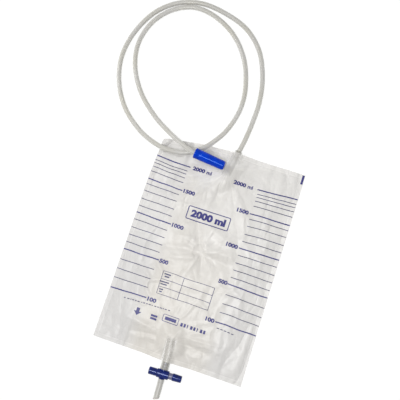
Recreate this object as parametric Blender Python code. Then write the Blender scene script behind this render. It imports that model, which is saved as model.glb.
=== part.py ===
"""A two-litre urine drainage bag, laid flat with its inlet tube looped above it.

Run with: blender --background --python part.py

Metres, +Z up. The back film lies on z = 0. +Y runs from the drain to the inlet, +X to the
right of the printed side. The origin is under the middle of the bag, its ports and its tap.
Each sub-part is one object. Sizes that can be set by themselves are written once, below.
"""
import math

import bpy
import bmesh
from mathutils import Vector

MM = 0.001

# Clearances
TOUCH_GAP = 0.3 * MM        # between pieces that lie on, or are welded to, each other
SLIDE_GAP = 0.1 * MM        # round the tap's plunger, and in its pressed fits
SEAL_GAP = 0.05 * MM        # round each seal ring

# The bag: two films welded together round the edge
BAG_WIDTH = 200.0 * MM
BAG_LENGTH = 286.0 * MM
FILM_WALL = 0.2 * MM
WELD_WIDTH = 5.0 * MM
PILLOW_RISE = 6.5 * MM      # air left in the bag lifts the front film
WELD_FLARE = 30.0 * MM      # how far from a port the welded edge comes back to the table
WELD_BLEND = 10.0 * MM      # how far down the bag the flare at a port fades out
WELD_HUG = 1.5              # how many tube radii to each side the films leave a port
CREASE_BLEND = 1.5 * MM     # rounds the crease where two rises of the film meet
EDGE_FADE = 11.0 * MM       # how far in from the weld the film is free to rise
RIDGE_SPREAD = 22.0 * MM    # how far the front film tents to each side of a port

# The inlet port, a stub of tube welded into the top edge
INLET_X = 5.3 * MM
INLET_LEAN = math.radians(10.4)
INLET_OUTER_R = 5.0 * MM
INLET_DEPTH = 31.0 * MM
INLET_PROUD = 3.0 * MM
INLET_TUBE_GRIP = 12.0 * MM

# The non-return valve, a flat sleeve of two films hanging from the inlet port
SLEEVE_WALL = 0.15 * MM
SLEEVE_WIDTH = 34.0 * MM
SLEEVE_LENGTH = 58.0 * MM
SLEEVE_GRIP = 7.0 * MM
SLEEVE_ROWS = 8
SLEEVE_COLUMNS = 10

# The outlet tube, welded into the bottom edge, and the drain tube below the tap
OUTLET_X = 1.8 * MM
OUTLET_SWAY = 1.8 * MM      # its inner end curves this far to the left
OUTLET_OUTER_R = 5.5 * MM
OUTLET_BORE_R = 4.1 * MM
OUTLET_DEPTH = 32.0 * MM
OUTLET_HANG = 9.6 * MM
OUTLET_STEPS = 6
DRAIN_OUTER_R = 3.95 * MM
DRAIN_BORE_R = 2.8 * MM
DRAIN_LENGTH = 24.8 * MM
DRAIN_SLANT = 1.4 * MM      # the free end is cut a little out of square

# The push-pull tap: a cross-shaped body and a plunger that slides across it
TAP_TURN = math.radians(2.6)
TAP_HUB_R = 5.5 * MM
TAP_BORE_R = 4.1 * MM
TAP_PORT_R = 1.6 * MM
TAP_COLLAR_R = 5.0 * MM
TAP_COLLAR_RISE = 0.4 * MM
TAP_UPPER_STUB = 9.0 * MM
TAP_LOWER_STUB = 7.0 * MM
STUB_RIB = 0.3 * MM
STUB_RIBS = 3
PLUNGER_WAIST_R = 2.3 * MM
PLUNGER_TENON_R = 2.6 * MM
PLUNGER_TENON = 7.0 * MM
SEAL_SECTION = 0.9 * MM
SEAL_GROOVE = 1.0 * MM
SEAL_LAND = 0.25 * MM
KNOB_R = 4.7 * MM
KNOB_CHAMFER = 0.7 * MM
KNOB_LEFT_LENGTH = 10.4 * MM
KNOB_RIGHT_LENGTH = 11.9 * MM
KNOB_RIGHT_END_R = 4.3 * MM     # this knob tapers towards its outer end

# The inlet tube
TUBE_R = 3.3 * MM
TUBE_STEP = 15.6 * MM
TUBE_LEAD = 3.0 * MM        # straight before it starts to bend, outside a socket
TABLE_GAP = 0.05 * MM
CURVE_SAMPLES = 24          # points worked out between two places of the route

# The catheter connector, glued to the tube's far end, and the cap that covers it
CONNECTOR_SOCKET = 12.0 * MM
CONNECTOR_BARREL_R = 4.7 * MM
CONNECTOR_INSET = 1.2 * MM
CONNECTOR_COLLAR = 4.0 * MM
CONNECTOR_STOP = 1.5 * MM   # solid part between the socket and the nozzle
CONNECTOR_SHOULDER_R = 4.4 * MM
CONNECTOR_TIP_R = 2.9 * MM
CONNECTOR_NOZZLE = 20.0 * MM
CONNECTOR_STEPS = 4
CONNECTOR_STEP = 0.35 * MM
CONNECTOR_BORE_R = 1.9 * MM
CAP_LENGTH = 42.8 * MM
CAP_MOUTH_R = 7.0 * MM
CAP_NOSE_R = 6.2 * MM
CAP_WALL = 1.1 * MM
CAP_FLOOR = 1.8 * MM
CAP_LIP = 1.8 * MM
CAP_LIP_RISE = 0.2 * MM
CAP_NOSE_ROUND = 2.6 * MM
NOSE_FACETS = 5
CAP_HEADING = math.radians(-7.0)
CAP_MOUTH_X = -48.2 * MM
CAP_MOUTH_DROP = 19.3 * MM  # from the bag's top edge down to the cap's mouth

# The front film rises to meet the cap that lies on it
NOSE_REST = 39.0 * MM       # from the cap's mouth along to where its nose rests
NOSE_RISE = 10.8 * MM
NOSE_MOUND_X = 30.0 * MM
MOUTH_REST = 7.0 * MM       # from the cap's mouth back to where the tube rests
MOUTH_RISE = 4.9 * MM
MOUTH_MOUND_X = 34.0 * MM
MOUND_Y = 22.0 * MM

# The top left corner is drawn in by a soft buckle
CORNER_REACH = 65.0 * MM
CORNER_PULL_X = 3.0 * MM
CORNER_PULL_Y = 9.6 * MM
CORNER_BUCKLE = 3.0 * MM
CORNER_CREST = 0.72         # share of the pull at which the buckle starts to rise

# Facets
TURNED_FACETS = 24
TUBE_FACETS = 24
SEAL_FACETS = 6
FINE_CELL = 2.6 * MM
COARSE_CELL = 20.0 * MM
PORT_ROWS = 5               # rows of the films' grid over each port

# Broad folds of the front film: start, end, height and half width, all in millimetres
# from the bag's centre. A negative height is a valley.
FOLDS = (
    ((-4, 104), (-52, 58), 2.2, 9),
    ((6, 104), (38, 66), 1.5, 9),
    ((-2, 92), (2, 20), -1.6, 10),
    ((-46, 60), (-50, 20), 1.4, 12),
    ((2, -8), (-34, 6), 1.8, 8),
    ((2, -8), (4, 26), 1.5, 8),
    ((4, -10), (34, 2), 1.6, 8),
    ((0, -12), (-12, -44), 1.3, 9),
    ((14, -106), (74, -114), 2.0, 7),
    ((22, -122), (80, -104), -1.0, 7),
    ((-16, -116), (-74, -104), 1.6, 8),
    ((70, 100), (74, 10), 1.3, 8),
    ((58, 118), (80, 60), -1.0, 9),
    ((-72, 90), (-80, -20), 1.2, 9),
)

# The inlet tube's route from the port to the connector, in millimetres from the bag's
# centre: once round the outside, under the cap, round the inside, and into the cap
ROUTE = (
    (8.6, 163, 4.9), (11.0, 190, 3.35), (11.2, 222, 3.35), (4.9, 256, 3.35),
    (-11, 291.5, 3.35), (-38, 317.5, 3.35), (-74, 331.2, 3.35), (-110, 335.4, 3.35),
    (-143.4, 325.4, 3.35), (-170, 301.5, 3.35), (-187, 265.5, 3.35), (-191.8, 228, 3.35),
    (-183, 191.5, 3.35), (-162.5, 158.6, 3.35), (-133, 134.6, 3.4), (-103, 122, 5.5),
    (-78, 119.4, 7.4), (-60, 123, 9.5), (-45, 132.6, 8.8), (-32, 147, 5.9),
    (-18.5, 171, 3.5), (-10.6, 203, 3.35), (-13.2, 236, 3.35), (-27, 273, 3.35),
    (-52, 303.5, 3.35), (-85.5, 322.4, 3.35), (-118, 326.6, 3.35), (-147.2, 313.0, 3.35),
    (-168, 286.5, 3.35), (-175.8, 252, 3.35), (-168, 217, 3.35), (-147, 184, 3.35),
    (-118, 158.5, 3.7), (-93, 143.2, 7.6), (-75, 133.6, 13.4), (-62.5, 127.6, 17.6),
)

# Places worked out from the sizes above
INLET_BORE_R = TUBE_R + SLIDE_GAP
INLET_Z = FILM_WALL + 2 * TOUCH_GAP + SLEEVE_WALL + INLET_OUTER_R
INLET_CREST = INLET_Z + INLET_OUTER_R + 2 * TOUCH_GAP + SLEEVE_WALL
OUTLET_Z = FILM_WALL + TOUCH_GAP + OUTLET_OUTER_R
OUTLET_CREST = OUTLET_Z + OUTLET_OUTER_R + TOUCH_GAP
TOP_EDGE = BAG_LENGTH / 2
BOTTOM_EDGE = -BAG_LENGTH / 2

SEAL_OFFSET = TAP_PORT_R + SEAL_LAND + SEAL_GROOVE / 2
WAIST_START = SEAL_OFFSET + SEAL_GROOVE / 2 + SEAL_LAND
WAIST_END = WAIST_START + 2 * TAP_PORT_R
PLUNGER_TRAVEL = (WAIST_START + WAIST_END) / 2
OUTER_SEAL_OFFSET = WAIST_END + SEAL_LAND + SEAL_GROOVE / 2
HUB_HALF = OUTER_SEAL_OFFSET + SEAL_GROOVE / 2 + SEAL_LAND
PLUNGER_R = TAP_BORE_R - SLIDE_GAP
KNOB_LEFT_FACE = -HUB_HALF - TOUCH_GAP
KNOB_RIGHT_FACE = HUB_HALF + PLUNGER_TRAVEL + TOUCH_GAP
STUB_SEAT = TAP_HUB_R + TAP_COLLAR_RISE
TUBE_SEAT = STUB_SEAT + TOUCH_GAP
TAP_UP = Vector((-math.sin(TAP_TURN), math.cos(TAP_TURN), 0.0))
TAP_CENTRE = Vector((OUTLET_X, BOTTOM_EDGE - OUTLET_HANG - TUBE_SEAT * TAP_UP.y, OUTLET_Z))
STUB_END = TAP_CENTRE.y + (STUB_SEAT + TAP_UPPER_STUB) * TAP_UP.y
DRAIN_LOWEST = (TAP_CENTRE.y - (TUBE_SEAT + DRAIN_LENGTH + DRAIN_SLANT) * TAP_UP.y
                + DRAIN_OUTER_R * TAP_UP.x)

INLET_AXIS = Vector((math.sin(INLET_LEAN), math.cos(INLET_LEAN), 0.0))
INLET_MOUTH = Vector((INLET_X, TOP_EDGE, INLET_Z)) + INLET_PROUD * INLET_AXIS
TOP_REACH = INLET_MOUTH.y + INLET_OUTER_R * math.sin(INLET_LEAN)
BAG_Y = -(TOP_REACH + DRAIN_LOWEST) / 2

CAP_Z = INLET_CREST + FILM_WALL + TOUCH_GAP + CAP_MOUTH_R
CAP_MOUTH = Vector((CAP_MOUTH_X, TOP_EDGE - CAP_MOUTH_DROP, CAP_Z))
CAP_AXIS = Vector((math.cos(CAP_HEADING), math.sin(CAP_HEADING), 0.0))
CAP_BORE_R = CAP_MOUTH_R - CAP_WALL
CONNECTOR_COLLAR_R = CAP_BORE_R - TOUCH_GAP


def clear_scene():
    """Remove whatever the scene already holds."""
    for obj in list(bpy.data.objects):
        bpy.data.objects.remove(obj, do_unlink=True)


def finish(name, colour, roughness, alpha=1.0):
    """A plain plastic material."""
    material = bpy.data.materials.new(name)
    material.use_nodes = True
    shader = material.node_tree.nodes["Principled BSDF"]
    shader.inputs["Base Color"].default_value = (*colour, 1.0)
    shader.inputs["Roughness"].default_value = roughness
    shader.inputs["Metallic"].default_value = 0.0
    shader.inputs["Alpha"].default_value = alpha
    return material


def place(name, mesh, material, parent=None, location=(0.0, 0.0, 0.0), heading=0.0):
    """Link a mesh into the scene as one named, shaded sub-part."""
    obj = bpy.data.objects.new(name, mesh)
    bpy.context.scene.collection.objects.link(obj)
    obj.location = location
    obj.rotation_euler = (0.0, 0.0, heading)
    obj.parent = parent
    mesh.materials.append(material)
    return obj


def holder(name, location, parent=None, heading=0.0):
    """An empty that carries the pieces of one assembly."""
    obj = bpy.data.objects.new(name, None)
    bpy.context.scene.collection.objects.link(obj)
    obj.location = location
    obj.rotation_euler = (0.0, 0.0, heading)
    obj.parent = parent
    return obj


def hide_helper(obj):
    """Keep a cutter out of the model."""
    obj.hide_render = True
    obj.display_type = "WIRE"


def to_mesh(name, bm, sharp_angle=40.0):
    """Close a bmesh off as a smooth-shaded mesh with its faces pointing out."""
    bmesh.ops.recalc_face_normals(bm, faces=bm.faces)
    mesh = bpy.data.meshes.new(name)
    bm.to_mesh(mesh)
    bm.free()
    mesh.shade_smooth()
    mesh.set_sharp_from_angle(angle=math.radians(sharp_angle))
    return mesh


def smooth_step(value):
    """0 below 0, 1 above 1, with an easy slope between."""
    share = min(max(value, 0.0), 1.0)
    return share * share * (3.0 - 2.0 * share)


def soft_max(a, b):
    """The larger of two heights, with the crease between them rounded."""
    overlap = max(CREASE_BLEND - abs(a - b), 0.0) / CREASE_BLEND
    return max(a, b) + overlap * overlap * CREASE_BLEND / 4.0


def mix(a, b, share):
    """From a to b by share."""
    return a + (b - a) * share


def turned(name, outline, facets=TURNED_FACETS):
    """Turn an outline of (station, radius) points round the local X axis.

    An outline whose two ends lie on the axis makes a plain solid. Any other outline is
    closed on itself and makes a ring or a tube.
    """
    bm = bmesh.new()
    on_axis = outline[0][1] == 0.0 and outline[-1][1] == 0.0
    rings = []
    for station, radius in outline:
        if radius == 0.0:
            rings.append([bm.verts.new((station, 0.0, 0.0))])
            continue
        ring = []
        for i in range(facets):
            angle = 2.0 * math.pi * i / facets
            ring.append(bm.verts.new((station, radius * math.cos(angle), radius * math.sin(angle))))
        rings.append(ring)
    pairs = list(zip(rings, rings[1:]))
    if not on_axis:
        pairs.append((rings[-1], rings[0]))
    for first, second in pairs:
        for i in range(facets):
            j = (i + 1) % facets
            corners = [first[i % len(first)], first[j % len(first)],
                       second[j % len(second)], second[i % len(second)]]
            bm.faces.new(list(dict.fromkeys(corners)))
    return to_mesh(name, bm)


def smooth_route(points, step):
    """Evenly spaced points on a Catmull-Rom curve through the given points."""
    points = [Vector(p) for p in points]
    ends = [2 * points[0] - points[1]] + points + [2 * points[-1] - points[-2]]
    dense = []
    for a, b, c, d in zip(ends, ends[1:], ends[2:], ends[3:]):
        for i in range(CURVE_SAMPLES):
            t = i / CURVE_SAMPLES
            dense.append(0.5 * (2 * b + (c - a) * t + (2 * a - 5 * b + 4 * c - d) * t * t
                                + (3 * b - a - 3 * c + d) * t * t * t))
    dense.append(points[-1])
    run = [0.0]
    for a, b in zip(dense, dense[1:]):
        run.append(run[-1] + (b - a).length)
    count = max(int(round(run[-1] / step)), 2)
    spaced = []
    k = 0
    for i in range(count + 1):
        wanted = run[-1] * i / count
        while k < len(run) - 2 and run[k + 1] < wanted:
            k += 1
        share = (wanted - run[k]) / (run[k + 1] - run[k])
        spaced.append(dense[k].lerp(dense[k + 1], min(share, 1.0)))
    return spaced


def soft_tube(name, path, outer_r, bore_r, end_slant=0.0):
    """A hollow tube along a path, with its last end cut out of square by end_slant."""
    bm = bmesh.new()
    rings = []
    for i, point in enumerate(path):
        ahead = path[min(i + 1, len(path) - 1)] - path[max(i - 1, 0)]
        along = ahead.normalized()
        side = along.cross(Vector((0.0, 0.0, 1.0))).normalized()
        up = side.cross(along)
        slant = end_slant if i == len(path) - 1 else 0.0
        pair = []
        for radius in (outer_r, bore_r):
            ring = []
            for k in range(TUBE_FACETS):
                angle = 2.0 * math.pi * k / TUBE_FACETS
                across = math.cos(angle) * side
                offset = radius * (across + math.sin(angle) * up)
                offset += along * slant * math.cos(angle) * radius / outer_r
                ring.append(bm.verts.new(point + offset))
            pair.append(ring)
        rings.append(pair)
    for k in range(TUBE_FACETS):
        j = (k + 1) % TUBE_FACETS
        for (outer_a, bore_a), (outer_b, bore_b) in zip(rings, rings[1:]):
            bm.faces.new((outer_a[k], outer_a[j], outer_b[j], outer_b[k]))
            bm.faces.new((bore_a[k], bore_a[j], bore_b[j], bore_b[k]))
        for outer, bore in (rings[0], rings[-1]):
            bm.faces.new((outer[k], outer[j], bore[j], bore[k]))
    return to_mesh(name, bm)


# The films' shape

def inlet_axis_x(y):
    """Where the leaning inlet port's axis lies at a height up the bag."""
    return INLET_X + (y - TOP_EDGE) * math.tan(INLET_LEAN)


def outlet_axis_x(y):
    """Where the outlet tube's axis lies: in line with the tap, then curving to the left."""
    share = (y - STUB_END) / (BOTTOM_EDGE + OUTLET_DEPTH - STUB_END)
    straight = OUTLET_X - (y - TAP_CENTRE.y) * math.tan(TAP_TURN)
    return straight - OUTLET_SWAY * min(max(share, 0.0), 1.0) ** 2


def arch(offset, half_width):
    """1 over a tube's axis, falling as a parabola to 0 at the half width."""
    return max(0.0, 1.0 - (offset / half_width) ** 2)


def edge_fade(x, y):
    """0 on the welded band, 1 well inside the bag."""
    to_side = BAG_WIDTH / 2 - WELD_WIDTH - abs(x)
    to_end = BAG_LENGTH / 2 - WELD_WIDTH - abs(y)
    return smooth_step(min(to_side, to_end) / EDGE_FADE)


def pillow(x, y):
    """How far the air in the bag lifts the front film."""
    across = min(abs(x) / (BAG_WIDTH / 2 - WELD_WIDTH), 1.0)
    along = min(abs(y) / (BAG_LENGTH / 2 - WELD_WIDTH), 1.0)
    return PILLOW_RISE * ((1.0 - across ** 2.2) * (1.0 - along ** 2.6)) ** 0.8


def folds(x, y):
    """The broad folds, each a rounded ridge or valley along a line."""
    rise = 0.0
    for start, end, height, half_width in FOLDS:
        a = Vector(start) * MM
        b = Vector(end) * MM
        point = Vector((x, y))
        share = min(max((point - a).dot(b - a) / (b - a).length_squared, 0.0), 1.0)
        away = (point - a.lerp(b, share)).length / (half_width * MM)
        rise += height * MM * math.exp(-away * away)
    return rise


def port_ridge(offset, depth, crest, reach):
    """The front film stands over a port, and sinks again past the port's inner end."""
    return crest * arch(offset, RIDGE_SPREAD) * (1.0 - smooth_step(depth / reach - 1.0))


def mound(x, y, centre, reach_x, height):
    """A rounded rise of the front film under something that lies on it."""
    share = ((x - centre.x) / reach_x) ** 2 + ((y - centre.y) / MOUND_Y) ** 2
    return height * max(0.0, 1.0 - share) ** 2


def welded_edge(offset, axis_z, wrap_r):
    """Front and back inner faces where both films are welded round a tube."""
    hug = WELD_HUG * wrap_r
    away = smooth_step((abs(offset) - hug) / WELD_FLARE)
    middle = mix(axis_z, FILM_WALL + TOUCH_GAP / 2, away)
    apart = TOUCH_GAP / 2 + (wrap_r - TOUCH_GAP / 2) * arch(offset, hug)
    return middle + apart, middle - apart


def film_faces(x, y):
    """Heights of the front and the back film's inner faces."""
    under_nose = mound(x, y, CAP_MOUTH + NOSE_REST * CAP_AXIS, NOSE_MOUND_X, NOSE_RISE)
    under_mouth = mound(x, y, CAP_MOUTH - MOUTH_REST * CAP_AXIS, MOUTH_MOUND_X, MOUTH_RISE)
    inlet_offset = x - inlet_axis_x(y)
    outlet_offset = x - outlet_axis_x(y)
    inlet_ridge = port_ridge(inlet_offset, TOP_EDGE - y, INLET_CREST, INLET_DEPTH + SLEEVE_GRIP)
    outlet_ridge = port_ridge(outlet_offset, y - BOTTOM_EDGE, OUTLET_CREST, OUTLET_DEPTH)
    fade = edge_fade(x, y)
    rise = soft_max(pillow(x, y), under_mouth * fade)
    rise = soft_max(rise, under_nose * fade)
    rise += folds(x, y) * fade * min(1.0, rise / (3 * MM))
    front = soft_max(FILM_WALL + TOUCH_GAP + rise, inlet_ridge)
    front = soft_max(front, outlet_ridge)
    back = FILM_WALL
    ends = ((inlet_offset, TOP_EDGE - y, INLET_Z, INLET_OUTER_R + 2 * TOUCH_GAP + SLEEVE_WALL),
            (outlet_offset, y - BOTTOM_EDGE, OUTLET_Z, OUTLET_OUTER_R + TOUCH_GAP))
    for offset, depth, axis_z, wrap_r in ends:
        share = 1.0 - smooth_step((depth - WELD_WIDTH) / WELD_BLEND - 0.2)
        share *= 1.0 - smooth_step((abs(offset) - 2 * WELD_HUG * wrap_r) / WELD_FLARE)
        welded_front, welded_back = welded_edge(offset, axis_z, wrap_r)
        front = mix(front, welded_front, share)
        back = mix(back, welded_back, share)
    return front, back


def corner_buckle(x, y):
    """How the top left corner is drawn in across, along and up."""
    away = math.hypot(x + BAG_WIDTH / 2, y - TOP_EDGE)
    share = max(0.0, 1.0 - away / CORNER_REACH) ** 1.3
    hump = math.sin(math.pi * max((share - CORNER_CREST) / (1.0 - CORNER_CREST), 0.0))
    return CORNER_PULL_X * share, -CORNER_PULL_Y * share, CORNER_BUCKLE * hump


def graded(limit, fine_until, outer_lines=()):
    """Grid lines from 0 to the limit, close together up to fine_until."""
    lines = []
    at = 0.0
    while at < limit - 0.6 * FINE_CELL:
        lines.append(at)
        growth = smooth_step((at - fine_until) / (2 * COARSE_CELL))
        at += mix(FINE_CELL, COARSE_CELL, growth)
    kept = [line for line in lines if all(abs(line - o) > FINE_CELL for o in outer_lines)]
    return sorted(kept + list(outer_lines) + [limit])


def film_grid():
    """Grid lines across and along the bag: fine at the ports, with lines on the weld."""
    half_width = BAG_WIDTH / 2
    right = graded(half_width, 3 * FINE_CELL, (half_width - WELD_WIDTH,))
    across = sorted({-line for line in right} | set(right))
    ends = []
    for i in range(PORT_ROWS + 1):
        ends.append(TOP_EDGE - WELD_WIDTH - (INLET_DEPTH + SLEEVE_GRIP) * i / PORT_ROWS)
    lower = [BOTTOM_EDGE, BOTTOM_EDGE + WELD_WIDTH]
    for i in range(1, PORT_ROWS + 1):
        lower.append(BOTTOM_EDGE + WELD_WIDTH + OUTLET_DEPTH * i / PORT_ROWS)
    middle = []
    count = int((ends[-1] - lower[-1]) / (0.75 * COARSE_CELL))
    for i in range(1, count):
        middle.append(mix(lower[-1], ends[-1], i / count))
    return across, lower + middle + ends[::-1] + [TOP_EDGE]


def skin(bm, grid, side):
    """Cover a grid of points with triangles split the same way on both films."""
    for low, high in zip(grid, grid[1:]):
        for i in range(len(low) - 1):
            for corners in ((low[i], low[i + 1], high[i + 1]), (low[i], high[i + 1], high[i])):
                bm.faces.new(corners if side == 0 else corners[::-1])


def film(name, side, material, parent):
    """One of the bag's two films, thickened outwards from its inner face."""
    across, along = film_grid()
    bm = bmesh.new()
    grid = []
    for y in along:
        row = []
        for x in across:
            z = film_faces(x, y)[side]
            pull_x, pull_y, lift = corner_buckle(x, y)
            row.append(bm.verts.new((x + pull_x, y + pull_y, z + lift)))
        grid.append(row)
    skin(bm, grid, side)
    mesh = bpy.data.meshes.new(name)
    bm.to_mesh(mesh)
    bm.free()
    mesh.shade_smooth()
    obj = place(name, mesh, material, parent)
    wall = obj.modifiers.new("film wall", "SOLIDIFY")
    wall.thickness = FILM_WALL
    wall.offset = 1.0
    return obj


def sleeve_film(name, side, material, parent):
    """One film of the non-return valve: round at the port, flat at its free end."""
    bm = bmesh.new()
    top = TOP_EDGE + (SLEEVE_GRIP - INLET_DEPTH + INLET_PROUD) * INLET_AXIS.y
    grid = []
    for j in range(SLEEVE_ROWS + 1):
        y = top - SLEEVE_LENGTH * j / SLEEVE_ROWS
        depth = top - y - SLEEVE_GRIP
        opened = 1.0 - smooth_step(depth / (SLEEVE_LENGTH * 0.45))
        row = []
        for i in range(SLEEVE_COLUMNS + 1):
            offset = SLEEVE_WIDTH * (i / SLEEVE_COLUMNS - 0.5)
            hug = arch(offset, SLEEVE_WIDTH / 2)
            low = FILM_WALL + TOUCH_GAP + SLEEVE_WALL
            high = mix(low + TOUCH_GAP, INLET_CREST - TOUCH_GAP - SLEEVE_WALL, opened * hug)
            row.append(bm.verts.new((inlet_axis_x(y) + offset, y, (high, low)[side])))
        grid.append(row)
    skin(bm, grid[::-1], side)
    mesh = bpy.data.meshes.new(name)
    bm.to_mesh(mesh)
    bm.free()
    mesh.shade_smooth()
    obj = place(name, mesh, material, parent)
    wall = obj.modifiers.new("sleeve wall", "SOLIDIFY")
    wall.thickness = SLEEVE_WALL
    wall.offset = 1.0
    return obj


# Ports and tubes

def inlet_port(material, parent):
    """The welded stub that the inlet tube is glued into."""
    path = [INLET_MOUTH - INLET_AXIS * (INLET_DEPTH * i / 3) for i in range(4)]
    place("inlet_port", soft_tube("inlet_port", path, INLET_OUTER_R, INLET_BORE_R), material, parent)


def outlet_tube(material, parent):
    """The wide tube from inside the bag down to the tap."""
    path = []
    for i in range(OUTLET_STEPS + 1):
        y = BOTTOM_EDGE - OUTLET_HANG + (OUTLET_HANG + OUTLET_DEPTH) * i / OUTLET_STEPS
        path.append(Vector((outlet_axis_x(y), y, OUTLET_Z)))
    mesh = soft_tube("outlet_tube", path, OUTLET_OUTER_R, OUTLET_BORE_R)
    place("outlet_tube", mesh, material, parent)


def drain_tube(material, parent):
    """The short open tube under the tap."""
    path = [TAP_CENTRE - (TUBE_SEAT + DRAIN_LENGTH * i / 3) * TAP_UP for i in range(4)]
    mesh = soft_tube("drain_tube", path, DRAIN_OUTER_R, DRAIN_BORE_R, DRAIN_SLANT)
    place("drain_tube", mesh, material, parent)


def inlet_tube(material, parent):
    """The long tube, as one smooth curve from inside the port to inside the connector."""
    out_of_port = INLET_MOUTH + INLET_AXIS * TUBE_LEAD
    to_socket = CAP_MOUTH - CAP_AXIS * TUBE_LEAD
    chosen = [Vector(point) * MM for point in ROUTE]
    path = smooth_route([out_of_port] + chosen + [to_socket], TUBE_STEP)
    path.insert(0, INLET_MOUTH - INLET_AXIS * INLET_TUBE_GRIP)
    path.append(CAP_MOUTH + CAP_AXIS * (CONNECTOR_INSET + CONNECTOR_SOCKET - TOUCH_GAP))
    curve = bpy.data.curves.new("inlet_tube", "CURVE")
    curve.dimensions = "3D"
    curve.bevel_depth = TUBE_R
    curve.bevel_resolution = 2
    curve.render_resolution_u = 0
    curve.use_fill_caps = True
    spline = curve.splines.new("POLY")
    spline.points.add(len(path) - 1)
    for point, place_at in zip(spline.points, path):
        height = max(place_at.z, TUBE_R + TABLE_GAP)
        point.co = (place_at.x, place_at.y, height, 1.0)
    curve.materials.append(material)
    obj = bpy.data.objects.new("inlet_tube", curve)
    bpy.context.scene.collection.objects.link(obj)
    obj.parent = parent


# The tap

def ribbed_stub(start, length, radius):
    """Outline of a stub for a soft tube: shallow ribs, each steep on the hub's side."""
    outline = [(0.0, 0.0), (0.0, radius - STUB_RIB)]
    pitch = length / (STUB_RIBS + 0.5)
    for i in range(STUB_RIBS):
        at = start + pitch * (i + 0.4)
        outline += [(at, radius - STUB_RIB), (at, radius), (at + 0.5 * pitch, radius - STUB_RIB)]
    outline += [(start + length, radius - STUB_RIB), (start + length, 0.0)]
    return outline


def tap_body(material, parent):
    """One moulding: a hub bored across, with a ribbed stub up and another down."""
    hub = [(-HUB_HALF, 0.0), (-HUB_HALF, TAP_HUB_R - KNOB_CHAMFER / 2),
           (-HUB_HALF + KNOB_CHAMFER / 2, TAP_HUB_R), (HUB_HALF - KNOB_CHAMFER / 2, TAP_HUB_R),
           (HUB_HALF, TAP_HUB_R - KNOB_CHAMFER / 2), (HUB_HALF, 0.0)]
    body = place("tap_body", turned("tap_body", hub), material, parent)
    reach = HUB_HALF + PLUNGER_TRAVEL
    upper_r = OUTLET_BORE_R - SLIDE_GAP
    lower_r = DRAIN_BORE_R - SLIDE_GAP
    up = math.radians(90.0)
    stubs = (
        ("upper collar", [(0.0, 0.0), (0.0, TAP_COLLAR_R), (STUB_SEAT, TAP_COLLAR_R), (STUB_SEAT, 0.0)], up),
        ("upper stub", ribbed_stub(STUB_SEAT, TAP_UPPER_STUB, upper_r), up),
        ("lower collar", [(0.0, 0.0), (0.0, DRAIN_OUTER_R), (STUB_SEAT, DRAIN_OUTER_R), (STUB_SEAT, 0.0)], -up),
        ("lower stub", ribbed_stub(STUB_SEAT, TAP_LOWER_STUB, lower_r), -up),
    )
    for name, outline, heading in stubs:
        add_tool(body, name, turned(name, outline, TUBE_FACETS), material, heading, "UNION")
    bore = [(-reach, 0.0), (-reach, TAP_BORE_R), (reach, TAP_BORE_R), (reach, 0.0)]
    add_tool(body, "cross bore", turned("cross bore", bore), material, 0.0, "DIFFERENCE")
    low = -STUB_SEAT - 2 * TAP_LOWER_STUB
    high = STUB_SEAT + 2 * TAP_UPPER_STUB
    port = [(low, 0.0), (low, TAP_PORT_R), (high, TAP_PORT_R), (high, 0.0)]
    add_tool(body, "flow port", turned("flow port", port, TUBE_FACETS), material, up, "DIFFERENCE")


def add_tool(body, name, mesh, material, heading, operation):
    """Join or cut a body with a helper solid that shares its parent."""
    tool = place(name, mesh, material, body.parent, heading=heading)
    hide_helper(tool)
    boolean = body.modifiers.new(name, "BOOLEAN")
    boolean.operation = operation
    boolean.solver = "EXACT"
    boolean.object = tool


def seal_stations():
    """Each seal ring's place along the plunger, from the port's axis."""
    return (-SEAL_OFFSET, SEAL_OFFSET, OUTER_SEAL_OFFSET)


def tap_plunger(material, parent):
    """The sliding rod: three seal grooves, a flow waist, and a tenon at each end."""
    groove_r = PLUNGER_R - SEAL_SECTION - SEAL_GAP + (SLIDE_GAP - SEAL_GAP)
    left = KNOB_LEFT_FACE + SLIDE_GAP
    right = KNOB_RIGHT_FACE - SLIDE_GAP
    outline = [(left - PLUNGER_TENON, 0.0), (left - PLUNGER_TENON, PLUNGER_TENON_R),
               (left, PLUNGER_TENON_R), (left, PLUNGER_R)]
    cuts = [(at - SEAL_GROOVE / 2, at + SEAL_GROOVE / 2, groove_r) for at in seal_stations()]
    cuts.insert(2, (WAIST_START, WAIST_END, PLUNGER_WAIST_R))
    for start, end, radius in cuts:
        outline += [(start, PLUNGER_R), (start, radius), (end, radius), (end, PLUNGER_R)]
    outline += [(right, PLUNGER_R), (right, PLUNGER_TENON_R),
                (right + PLUNGER_TENON, PLUNGER_TENON_R), (right + PLUNGER_TENON, 0.0)]
    place("tap_plunger", turned("tap_plunger", outline), material, parent)


def seal_rings(material, parent):
    """The three rings in the plunger's grooves."""
    middle_r = TAP_BORE_R - SEAL_GAP - SEAL_SECTION / 2
    for number, station in enumerate(seal_stations(), start=1):
        outline = []
        for i in range(SEAL_FACETS):
            angle = 2.0 * math.pi * i / SEAL_FACETS
            outline.append((station + SEAL_SECTION / 2 * math.cos(angle),
                            middle_r + SEAL_SECTION / 2 * math.sin(angle)))
        name = "seal_ring_%d" % number
        place(name, turned(name, outline), material, parent)


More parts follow.
